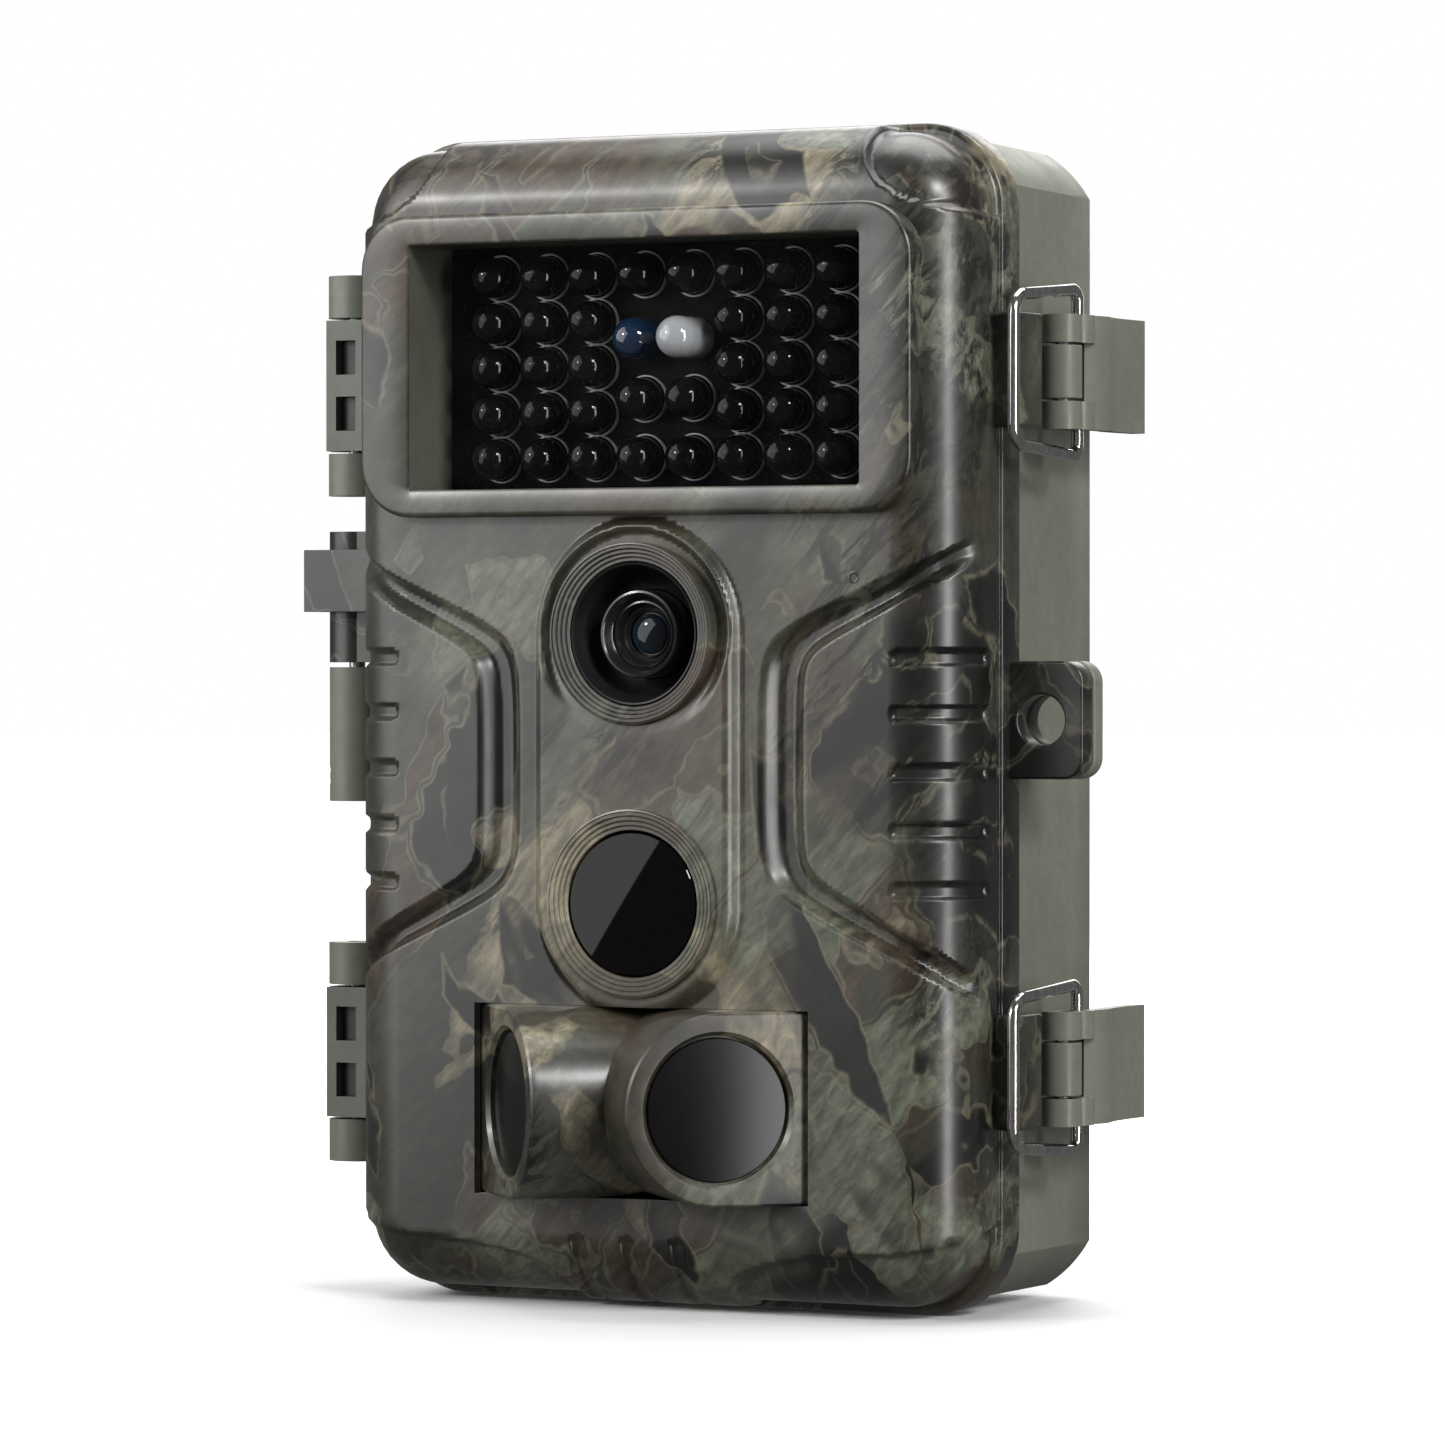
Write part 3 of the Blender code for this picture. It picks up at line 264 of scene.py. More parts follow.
def drawn_wire():
    """Polished wire with fine drawing lines along it."""
    material, tree, shader = new_material("polished_wire", 0.12, 1.0)
    drawing = noise(tree, place(tree, (1, 1, 20)), 2400, 2)
    colour = mix(tree, band(tree, drawing, 0.3, 0.7), rgba(0.50, 0.49, 0.48), rgba(0.72, 0.71, 0.70))
    feed(tree, shader, "Base Color", colour)
    feed(tree, shader, "Roughness", band(tree, drawing, 0.3, 0.7, 0.08, 0.20))
    bump(tree, shader, drawing, 0.04)
    return material


def clear_pane():
    """A clear pane whose faint haze and reflections stay on top of what is behind it."""
    material, tree, shader = new_material("clear_pane", 0.03, IOR=1.49)
    haze = band(tree, noise(tree, place(tree), 60, 4), 0.3, 0.7, 0.0005, 0.0025)
    feed(tree, shader, "Alpha", haze)
    feed(tree, shader, "Base Color", mix(tree, haze, rgba(0.75, 0.78, 0.78), rgba(0.9, 0.9, 0.9)))
    return material


def sensor_film(name, colour, roughness):
    """A film lens: fine rings of facets that barely show through its dark face."""
    material, tree, shader = new_material(name, roughness, IOR=1.5, Specular_IOR_Level=0.25)
    cells = add_node(tree, "TexVoronoi", {"Vector": place(tree), "Scale": 420.0}).outputs["Distance"]
    facets = mix(tree, band(tree, cells, 0.1, 0.6), rgba(*colour), rgba(*(1.5 * c for c in colour)))
    feed(tree, shader, "Base Color", facets)
    return material


def coated_glass():
    """The front lens: near-black glass with a slight blue-green coating."""
    material, tree, shader = new_material("coated_glass", 0.03, IOR=1.35, Coat_Weight=0.2, Coat_Roughness=0.02)
    facing = add_node(tree, "LayerWeight", {"Blend": 0.35}).outputs["Facing"]
    feed(tree, shader, "Base Color", mix(tree, facing, rgba(0.006, 0.008, 0.012), rgba(0.02, 0.05, 0.06)))
    return material


def display_face():
    """A dark display with the fine rows of its cells."""
    material, tree, shader = new_material("display_face", 0.10, Coat_Weight=0.6, Coat_Roughness=0.04)
    rows = add_node(tree, "TexWave", {"Vector": place(tree), "Scale": 900.0}, bands_direction="Z")
    colour = mix(tree, rows.outputs[0], rgba(0.008, 0.010, 0.013), rgba(0.016, 0.020, 0.026))
    feed(tree, shader, "Base Color", colour)
    return material


def board_green():
    """A printed board: solder mask with traces and pads under it."""
    material, tree, shader = new_material("printed_board", 0.35, Coat_Weight=0.3, Coat_Roughness=0.2)
    traces = add_node(tree, "TexBrick", {"Vector": place(tree, turn=(90, 0, 0)), "Scale": 190.0,
                                                   "Mortar Size": 0.06}).outputs["Fac"]
    feed(tree, shader, "Base Color", mix(tree, traces, rgba(0.014, 0.085, 0.038), rgba(0.03, 0.17, 0.075)))
    bump(tree, shader, traces, 0.15)
    return material


def cell_wrap():
    """The cells' sleeve: dark with one plain copper-coloured band."""
    material, tree, shader = new_material("cell_wrap", 0.3, 0.35)
    height = add_node(tree, "SeparateXYZ", {0: place(tree)}).outputs[2]
    in_row = maths(tree, "FRACT", times(tree, maths(tree, "SUBTRACT", height, 0.0166), 1 / 0.0562))
    top = maths(tree, "GREATER_THAN", in_row, 0.66)
    grain = band(tree, noise(tree, place(tree), 300, 3), 0.3, 0.7, 0.0, 0.15)
    dark = mix(tree, grain, rgba(0.022, 0.024, 0.028), rgba(0.08, 0.08, 0.09))
    feed(tree, shader, "Base Color", mix(tree, top, dark, rgba(0.42, 0.20, 0.07)))
    return material


FINISHES = {
    "camo_plastic": camo(),
    "olive_plastic": moulded("olive_shell", (0.168, 0.176, 0.140), 0.40, depth=0.10),
    "black_plastic": moulded("black_shell", (0.010, 0.010, 0.011), 0.36),
    "clear_plastic": clear_pane(),
    "smoked_lamp": moulded("smoked_lamp", (0.0015, 0.0015, 0.0015), 0.05, depth=0.0, Specular_IOR_Level=0.22),
    "blue_lamp": moulded("blue_lamp", (0.004, 0.016, 0.040), 0.08, depth=0.0, Coat_Weight=0.6),
    "white_lamp": moulded("white_lamp", (0.32, 0.33, 0.34), 0.12, depth=0.02, Coat_Weight=0.8),
    "lens_glass": coated_glass(),
    "sensor_film": sensor_film("sensor_film", (0.0015, 0.001, 0.001), 0.015),
    "sensor_can": moulded("sensor_can", (0.55, 0.54, 0.50), 0.28, 1.0),
    "circuit_board": board_green(),
    "display_glass": display_face(),
    "key_rubber": moulded("key_rubber", (0.13, 0.13, 0.125), 0.62, depth=0.2),
    "seal_rubber": moulded("seal_rubber", (0.015, 0.015, 0.015), 0.7, depth=0.3),
    "chrome_wire": drawn_wire(),
    "steel": moulded("machined_steel", (0.42, 0.42, 0.41), 0.28, 1.0, grain=1500),
    "brass": moulded("brass_insert", (0.58, 0.40, 0.15), 0.28, 1.0, grain=1500),
    "contact_plate": moulded("plated_contact", (0.62, 0.61, 0.57), 0.22, 1.0, grain=1200),
    "cell_jacket": cell_wrap(),
    "card_plastic": moulded("card_shell", (0.03, 0.04, 0.075), 0.45),
}
BARREL_BLACK = moulded("barrel_black", (0.012, 0.012, 0.013), 0.22, depth=0.04)
# The collars' light grey is partly their own tone and partly painted highlight, so that they show as bright
# rings round the lamps.
LAMP_COLLAR_TONE_AND_HIGHLIGHT = moulded("lamp_collar_tone_and_highlight", (0.22, 0.22, 0.22), 0.12, depth=0.0)
SIDE_FILM = sensor_film("side_sensor_film", (0.003, 0.003, 0.003), 0.22)
SLEEVE = moulded("sleeve_film", (0.085, 0.088, 0.068), 0.34)
HINGE_FILM = moulded("hinge_film", (0.105, 0.110, 0.088), 0.38)
LAMP_PLATE = moulded("lamp_plate", (0.0030, 0.0030, 0.0032), 0.6, depth=0.05, Specular_IOR_Level=0.03)


# -------- pieces and mesh tools

def add_piece(name, mesh, slot="camo_plastic", body="cover", replaced=(), material=None, smooth_angle=40):
    """An object of the finished model, from a mesh or an edit mesh in millimetres.

    It gets its finish and the body it moves with, and the CAD nodes it stands for are hidden.
    """
    if isinstance(mesh, bmesh.types.BMesh):
        mesh = mesh_of(name, mesh)
    obj = bpy.data.objects.new(name, mesh)
    bpy.context.scene.collection.objects.link(obj)
    mesh.materials.clear()
    mesh.materials.append(material or FINISHES[slot])
    mesh.shade_smooth()
    mesh.set_sharp_from_angle(angle=radians(smooth_angle))
    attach(obj, body)
    if replaced:
        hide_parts(*replaced)
    return obj


def mesh_of(name, bm):
    """The mesh of bm, which is in millimetres."""
    bmesh.ops.scale(bm, vec=(MM, MM, MM), verts=bm.verts)
    bmesh.ops.recalc_face_normals(bm, faces=bm.faces)
    mesh = bpy.data.meshes.new(name)
    bm.to_mesh(mesh)
    bm.free()
    return mesh


def arc(centre, radius, start, end, steps):
    """Points of an arc, angles in degrees."""
    angles = np.radians(np.linspace(start, end, steps + 1))
    return [(centre[0] + radius * cos(a), centre[1] + radius * sin(a)) for a in angles]


def soften(points, radius, steps=3, closed=False):
    """An outline with each corner rounded over radius, or over less where an edge is short."""
    points = [Vector(p) for p in points]
    out = []
    for i, here in enumerate(points):
        if not closed and i in (0, len(points) - 1):
            out.append(tuple(here))
            continue
        before, after = points[i - 1] - here, points[(i + 1) % len(points)] - here
        reach = min(radius, before.length * 0.45, after.length * 0.45)
        start, end = here + before.normalized() * reach, here + after.normalized() * reach
        for k in range(steps + 1):
            t = k / steps
            out.append(tuple(start * (1 - t) ** 2 + here * 2 * t * (1 - t) + end * t * t))
    return out


def turned(profile, centre, axis=-Y_AXIS, steps=96, into=None):
    """A body turned about an axis. A profile of (radius, distance along) that leaves the axis is a ring."""
    bm = into or bmesh.new()
    turn = Matrix.Translation(centre) @ Z_AXIS.rotation_difference(axis).to_matrix().to_4x4()
    rows = []
    for radius, along in profile:
        count = steps if radius > 1e-6 else 1
        angles = [2 * pi * i / steps for i in range(count)]
        rows.append([bm.verts.new(turn @ Vector((radius * cos(a), radius * sin(a), along))) for a in angles])
    pairs = list(zip(rows, rows[1:]))
    if profile[0][0] > 1e-6:
        pairs.append((rows[-1], rows[0]))
    for first, second in pairs:
        for i in range(steps):
            j = (i + 1) % steps
            corners = [first[i % len(first)], first[j % len(first)], second[j % len(second)],
                       second[i % len(second)]]
            bm.faces.new(list(dict.fromkeys(corners)))
    return bm


def loft(rings, ring_shaped=True):
    """A body through closed rings of points. It either closes on its first ring or is capped."""
    bm = bmesh.new()
    rows = [[bm.verts.new(point) for point in ring] for ring in rings]
    pairs = list(zip(rows, rows[1:]))
    if ring_shaped:
        pairs.append((rows[-1], rows[0]))
    else:
        bm.faces.new(rows[0])
        bm.faces.new(rows[-1])
    for first, second in pairs:
        for i in range(len(first)):
            j = (i + 1) % len(first)
            bm.faces.new((first[i], first[j], second[j], second[i]))
    return bm


def rounded_rectangle(half, z_range, corner, steps=10, flatness=0.0):
    """Points round a rectangle in X and Z. Flatness turns its round corners towards plain chamfers."""
    low, high = z_range
    points = []
    centres = ((half - corner, low + corner), (half - corner, high - corner),
               (corner - half, high - corner), (corner - half, low + corner))
    for centre, start in zip(centres, (-90, 0, 90, 180)):
        bend = np.array(arc(centre, corner, start, start + 90, steps))
        chord = bend[0] + (bend[-1] - bend[0]) * np.linspace(0, 1, steps + 1)[:, None]
        points.extend(bend + (chord - bend) * flatness)
    return np.array(points)


def at_depth(outline, y):
    return [(x, y, z) for x, z in outline]


def shape(bm_or_mesh, name="shape"):
    """A helper object, in metres, for the modifiers of carve."""
    mesh = bm_or_mesh if isinstance(bm_or_mesh, bpy.types.Mesh) else mesh_of(name, bm_or_mesh)
    mesh.shade_smooth()
    obj = bpy.data.objects.new(name, mesh)
    bpy.context.scene.collection.objects.link(obj)
    return obj


def block(low, high):
    bm = bmesh.new()
    size, middle = Vector(high) - Vector(low), (Vector(high) + Vector(low)) / 2
    bmesh.ops.create_cube(bm, size=1, matrix=Matrix.Translation(middle) @ Matrix.Diagonal((*size, 1)))
    return shape(bm)


def drum(radius, start, end, sides=64):
    start, end = Vector(start), Vector(end)
    return shape(turned([(0, 0), (radius, 0), (radius, (end - start).length), (0, (end - start).length)],
                        start, end - start, sides))


def slab(outline, start, end, axis="Y"):
    """An outline of (X, Z) thickened along Y, of (X, Y) along Z, or of (Y, Z) along X."""
    order = {"Y": lambda p, d: (p[0], d, p[1]), "Z": lambda p, d: (p[0], p[1], d),
             "X": lambda p, d: (d, p[0], p[1])}[axis]
    return shape(loft([[order(p, d) for p in outline] for d in (start, end)], ring_shaped=False))


def carve(base, add=(), cut=(), bevel=0.3, segments=2):
    """The finished mesh of base with pieces added, others cut away and its edges rounded."""
    for others, operation in ((add, "UNION"), (cut, "DIFFERENCE")):
        for other in others:
            modifier = base.modifiers.new(operation, "BOOLEAN")
            modifier.operation = operation
            modifier.object = other
    if bevel:
        weld = base.modifiers.new("weld", "WELD")
        weld.merge_threshold = 0.00002
        edge = base.modifiers.new("edge", "BEVEL")
        edge.width = bevel * MM
        edge.segments = segments
        edge.limit_method = "ANGLE"
        edge.angle_limit = radians(32)
        base.modifiers.new("normals", "WEIGHTED_NORMAL")
    graph = bpy.context.evaluated_depsgraph_get()
    mesh = bpy.data.meshes.new_from_object(base.evaluated_get(graph))
    for helper in (base, *add, *cut):
        bpy.data.objects.remove(helper)
    return mesh


def smooth_step(value):
    value = np.clip(value, 0, 1)
    return value * value * (3 - 2 * value)


# -------- the cover's shell

def lines(*stops):
    """Positions from one stop to the next. Each stop is (position, spacing up to the next one)."""
    out = [stops[0][0]]
    for (start, step), (end, _) in zip(stops, stops[1:]):
        count = max(1, round((end - start) / step))
        out.extend(start + (end - start) * (i + 1) / count for i in range(count))
    return np.array(out)


def soft_most(distances, softness):
    """The largest of some distances, blended where two are close."""
    return softness * np.log(sum(np.exp(d / softness) for d in distances))


def beyond_line(x, z, point, slope, side):
    """Distance above (side 1) or below (side -1) a sloping line."""
    return side * (z - point[1] - slope * (x - point[0])) / np.hypot(1, slope)


def capsule(along, across, start, end, middle, radius):
    """Distance to a round-ended bar, negative inside."""
    return np.hypot(along - np.clip(along, start, end), across - middle) - radius


def unroll(u, v):
    """An unrolled position's foot on the flat face, its way out, and its girth past the face."""
    core_x, core_z = FLAT_HALF - FLAT_CORNER, (FLAT_HIGH - FLAT_LOW) / 2 - FLAT_CORNER
    from_x, from_z = u - np.clip(u, -core_x, core_x), v - HEIGHT / 2
    from_z = from_z - np.clip(from_z, -core_z, core_z)
    reach = np.maximum(np.hypot(from_x, from_z), 1e-9)
    girth = np.maximum(reach - FLAT_CORNER, 0)
    way_x, way_z = from_x / reach, from_z / reach
    return u - way_x * girth, v - way_z * girth, way_x, way_z, girth


def relief(u, v):
    """How far the cover's surface stands out from its plain rounded form, at an unrolled position."""
    foot_x, foot_z, way_x, way_z, girth = unroll(u, v)
    reach = ROUND * np.sin(np.minimum(girth / ROUND, pi / 2))
    x, z = foot_x + way_x * reach, foot_z + way_z * reach
    side = np.abs(u)
    # the column that carries the lens and the front sensor
    outside = np.hypot(u, v - np.clip(v, PIR_Z, LENS_Z)) - COLUMN_HALF
    height = 1.8 * np.sin(pi / 2 * smooth_step(-outside / 2.2))
    # a sunk ring round the lens, deeper towards its top
    from_lens = np.hypot(u, v - LENS_Z)
    height -= 1.35 * smooth_step((13.0 - from_lens) / 1.3) * smooth_step((v - 68) / 14)
    # grooves round the two side pockets
    outer = soft_most((15.9 - side, beyond_line(side, v, (21.3, 82.0), 0.43, 1),
                       beyond_line(side, v, (20.4, 48.0), -0.46, -1)), 2.0)
    inner = soft_most((22.1 - side, beyond_line(side, v, (22.8, 77.7), 0.50, 1),
                       beyond_line(side, v, (24.2, 51.3), -0.54, -1)), 1.2)
    inside = (outer < 0) & (inner > 0)
    share = np.where(inside, -outer / np.where(inside, inner - outer, 1.0), 0.0)
    groove = 2.0 * smooth_step(1.25 * (1 - np.abs(2 * share - 1))) * inside
    height -= groove * (1 - smooth_step((girth - 6.5) / 6.0))
    # finger grips over both sides, and three under the middle
    for middle in (77.3, 70.8, 64.0, 57.2, 50.3):
        height -= 0.6 * smooth_step(0.5 - capsule(side, v, 33.95, 46.0, middle, 0.85) / 0.6)
    for middle in (-8.4, -1.7, 5.0):
        height -= 0.6 * smooth_step(0.5 - capsule(v, u, -4.6, 7.9, middle, 0.85) / 0.6)
    # recessed corners
    rise = girth / 17.45
    for down, wide, tall in ((z, 31.0, 7.8 + 3.2 * rise), (HEIGHT - z, 12.6, 10.2 + 1.2 * rise)):
        a, b, power = (41.5 - np.abs(x)) / wide, np.maximum(down, 0.01) / tall, 2.6
        level = (np.maximum(a, 0.001) ** power + b ** power) ** (1 / power)
        slope = level ** (1 - power) * np.hypot(np.maximum(a, 0.001) ** (power - 1) / wide,
                                                b ** (power - 1) / tall)
        height -= 0.9 * smooth_step((1 - level) / np.maximum(slope, 0.01) / 0.9 + 0.5)
    return height - 0.3 * smooth_step((girth - 16.4) / 0.4)


def surface(u, v):
    """Points and outward normals of the cover's surface at unrolled positions."""
    foot_x, foot_z, way_x, way_z, girth = unroll(u, v)
    angle = np.minimum(girth / ROUND, pi / 2)
    height, step = relief(u, v), 0.05
    slope_u = (relief(u + step, v) - relief(u - step, v)) / (2 * step)
    slope_v = (relief(u, v + step) - relief(u, v - step)) / (2 * step)
    plain = np.stack([way_x * np.sin(angle), -np.cos(angle), way_z * np.sin(angle)], axis=1)
    outward = np.stack([way_x * np.cos(angle), np.sin(angle), way_z * np.cos(angle)], axis=1)
    along = np.stack([-way_z, np.zeros_like(u), way_x], axis=1)
    past = girth > 1e-6
    slope_out = np.where(past, slope_u * way_x + slope_v * way_z, slope_u)
    slope_along = np.where(past, slope_v * way_x - slope_u * way_z, slope_v)
    outward[~past], along[~past] = (1, 0, 0), (0, 0, 1)
    normals = plain - slope_out[:, None] * outward - slope_along[:, None] * along
    normals /= np.linalg.norm(normals, axis=1)[:, None]
    y = FACE_Y + ROUND * (1 - np.cos(angle)) + np.maximum(girth - ROUND * pi / 2, 0)
    reach = ROUND * np.sin(angle)
    points = np.stack([foot_x + way_x * reach, y, foot_z + way_z * reach], axis=1) + plain * height[:, None]
    return points, normals


def cover_shell():
    """The cover: a dense grid over the flat face, carried round its edges, with its inside."""
    half = lines((0, 0.374), (SEAT_HALF, 0.38), (FLAT_HALF - FLAT_CORNER, 0.3), (FLAT_HALF, 1))
    xs = np.concatenate([-half[:0:-1], half])
    zs = lines((FLAT_LOW, 0.3), (FLAT_LOW + FLAT_CORNER, 0.4), (SEAT_Z[0], 0.7), (SEAT_Z[1], 0.37),
               (92.0, 0.5), (96.1, 0.9), (127.8, 0.4), (FLAT_HIGH - FLAT_CORNER, 0.3), (FLAT_HIGH, 1))
    x, z = (part.ravel() for part in np.meshgrid(xs, zs, indexing="ij"))
    columns, rows = len(xs), len(zs)
    # pull the grid's corners in to round ones
    middle_z = HEIGHT / 2
    core_x, core_z = FLAT_HALF - FLAT_CORNER, FLAT_HIGH - middle_z - FLAT_CORNER
    a, b = (np.abs(x) - core_x) / FLAT_CORNER, (np.abs(z - middle_z) - core_z) / FLAT_CORNER
    corner = (a > 0) & (b > 0)
    round_x = core_x + FLAT_CORNER * a * np.sqrt(np.clip(1 - b * b / 2, 0, 1))
    round_z = core_z + FLAT_CORNER * b * np.sqrt(np.clip(1 - a * a / 2, 0, 1))
    x = np.where(corner, np.sign(x) * round_x, x)
    z = np.where(corner, middle_z + np.sign(z - middle_z) * round_z, z)

    index = np.arange(columns * rows).reshape(columns, rows)
    quads = np.stack([index[:-1, :-1], index[1:, :-1], index[1:, 1:], index[:-1, 1:]], axis=-1).reshape(-1, 4)
    centre_x, centre_z = x[quads].mean(axis=1), z[quads].mean(axis=1)
    keep = ~((np.abs(centre_x) < 31.3) & (centre_z > 96.1) & (centre_z < 127.8))
    keep &= ~((np.abs(centre_x) < SEAT_HALF) & (centre_z > SEAT_Z[0]) & (centre_z < SEAT_Z[1]))
    for hole_z in (LENS_Z, PIR_Z):
        keep &= (np.hypot(x, z - hole_z)[quads] > HOLE_RADIUS - 0.25).all(axis=1)
    removed = np.unique(quads[~keep])
    quads = quads[keep]
    for hole_z in (LENS_Z, PIR_Z):
        from_hole = np.hypot(x, z - hole_z)
        edge = np.intersect1d(removed, np.unique(quads))
        edge = edge[from_hole[edge] < HOLE_RADIUS + 1]
        x[edge] *= HOLE_RADIUS / from_hole[edge]
        z[edge] = hole_z + (z[edge] - hole_z) * HOLE_RADIUS / from_hole[edge]

    # the loop round the flat face, and the way out from each of its points
    loop = np.concatenate([index[:, 0], index[-1, 1:], index[-2::-1, -1], index[0, -2:0:-1]])
    out = np.stack([x[loop] - np.clip(x[loop], -core_x, core_x),
                    z[loop] - middle_z - np.clip(z[loop] - middle_z, -core_z, core_z)], axis=1)
    out /= np.linalg.norm(out, axis=1)[:, None]

    first, first_normals = surface(x, z)
    points, normals, faces = [first], [first_normals], [quads]
    bend = ROUND * pi / 2
    wall = FLANGE_Y - (FACE_Y + ROUND)
    steps = np.concatenate([np.linspace(0, bend, 25)[1:], bend + np.linspace(0, wall, 9)[1:]])
    previous, count = loop, len(x)

    def add_ring(ring, ring_normals):
        nonlocal previous, count
        fresh = np.arange(count, count + len(loop))
        points.append(ring)
        normals.append(ring_normals)
        faces.append(np.stack([previous, np.roll(previous, -1), np.roll(fresh, -1), fresh], axis=1))
        previous, count = fresh, count + len(loop)

    for girth in steps:
        add_ring(*surface(x[loop] + out[:, 0] * girth, z[loop] + out[:, 1] * girth))
    free = np.zeros((len(loop), 3))
    flange = ROUND + FLANGE_STEP[0] + (FLANGE_STEP[1] - FLANGE_STEP[0]) * np.abs(out[:, 1])
    for inset, y in ((0.3, FLANGE_Y), (0.1, FLANGE_Y + 0.1), (0, FLANGE_Y + 0.35), (0, -0.55), (0.1, -0.28),
                     (0.35, -0.15), (2.5, -0.15), (2.5, -9.5), (3.2, -12.0), (5.2, INNER_Y)):
        reach = flange - inset
        add_ring(np.stack([x[loop] + out[:, 0] * reach, np.full(len(loop), y), z[loop] + out[:, 1] * reach],
                          axis=1), free)

    points, normals, faces = np.concatenate(points), np.concatenate(normals), np.concatenate(faces)
    used, faces = np.unique(faces, return_inverse=True)
    mesh = bpy.data.meshes.new("cover_shell")
    mesh.from_pydata(points[used].tolist(), [], faces.reshape(-1, 4).tolist())
    bm = bmesh.new()
    bm.from_mesh(mesh)
    bpy.data.meshes.remove(mesh)
    open_edges = [e for e in bm.edges if len(e.link_faces) == 1]
    holes = [e for e in open_edges if e.verts[0].co.y < INNER_Y - 0.5]
    made = bmesh.ops.extrude_edge_only(bm, edges=holes)["geom"]
    for vert in (g for g in made if isinstance(g, bmesh.types.BMVert)):
        vert.co.y = INNER_Y
    open_edges = [e for e in bm.edges if len(e.link_faces) == 1]
    bmesh.ops.triangle_fill(bm, edges=open_edges, use_beauty=True)
    shell = mesh_of("cover_shell", bm)
    add_piece("cover_shell", shell, replaced=["front_cover"])
    smooth = np.zeros((len(shell.vertices), 3))
    smooth[:len(used)] = normals[used]
    shell.normals_split_custom_set_from_vertices(smooth.tolist())


def window_bezel():
    """The raised frame of the lamp window and the sleeve that runs back to the lamps."""
    low, high = BEZEL_Z
    sleeve = node_box("led_board")[0].y + 5.6 - GAP

    def frame_ring(inset, y):
        z_range = (low + inset, high - inset)
        return at_depth(rounded_rectangle(BEZEL_HALF - inset, z_range, BEZEL_CORNER - inset), y)

    def window_ring(grow, y, corner):
        z_range = (WINDOW_Z[0] - grow, WINDOW_Z[1] + grow)
        return at_depth(rounded_rectangle(WINDOW_HALF + grow, z_range, corner), y)

    front = RIM_Y + 0.3
    tube_rings = [window_ring(0, sleeve, 0.5), window_ring(0, front, 0.5), window_ring(0.9, front, 1.1),
                  window_ring(0.9, sleeve, 1.1)]
    add_piece("window_sleeve", loft(tube_rings), material=SLEEVE)
    rings = [window_ring(1.0, RIM_Y + 5.8, 1.2), window_ring(1.0, front, 1.2), window_ring(0.02, front, 0.5),
             window_ring(0.08, RIM_Y + 0.09, 0.55), window_ring(0.28, RIM_Y, 0.6), frame_ring(0.65, RIM_Y),
             frame_ring(0.35, RIM_Y + 0.06), frame_ring(0.1, RIM_Y + 0.25), frame_ring(0, RIM_Y + 0.6),
             frame_ring(0, RIM_Y + 5.5)]
    add_piece("window_bezel", loft(rings))


def stepped_rim(inner, outer, low, high, steps):
    """The profile of a rim that steps down towards its hole, with a small round on each step."""
    width, drop = (outer - 0.25 - inner) / steps, (high - low) / steps
    profile = [(inner, 13.5)]
    for i in range(steps):
        level = low + drop * (i + 0.5)
        start = inner + width * i
        profile += [(start, level - 0.10), (start + 0.07, level), (start + width - 0.14, level),
                    (start + width - 0.05, level - 0.07)]
    return profile + [(outer - 0.25, high), (outer - 0.07, high - 0.05), (outer, high - 0.25), (outer, 13.5)]


def rims():
    """The ridged rims of the lens and the front sensor, and the microphone's port."""
    lens_rim = turned(stepped_rim(8.57, 10.8, 18.9, 20.0, 4), (0, 0, LENS_Z))
    add_piece("lens_ring", lens_rim, smooth_angle=30)
    sensor_rim = turned(stepped_rim(8.7, 11.2, 19.3, 20.0, 4), (0, 0, PIR_Z))
    add_piece("pir_ring", sensor_rim, smooth_angle=30)
    face = -FACE_Y
    port = [(0.42, face - 1), (0.42, face + 0.02), (0.55, face + 0.08), (0.72, face + 0.03), (0.78, face - 1)]
    add_piece("microphone_port", turned(port, MICROPHONE, steps=32))
    plug = [(0, face - 1), (0.5, face - 1), (0.5, face - 0.5), (0, face - 0.5)]
    add_piece("microphone_mesh", turned(plug, MICROPHONE, steps=24), "black_plastic")


# -------- hinge, catches and tabs

def knuckle_pin_bore(low, high):
    return drum(PIN_BORE, (HINGE.x, HINGE.y, low), (HINGE.x, HINGE.y, high), 32)


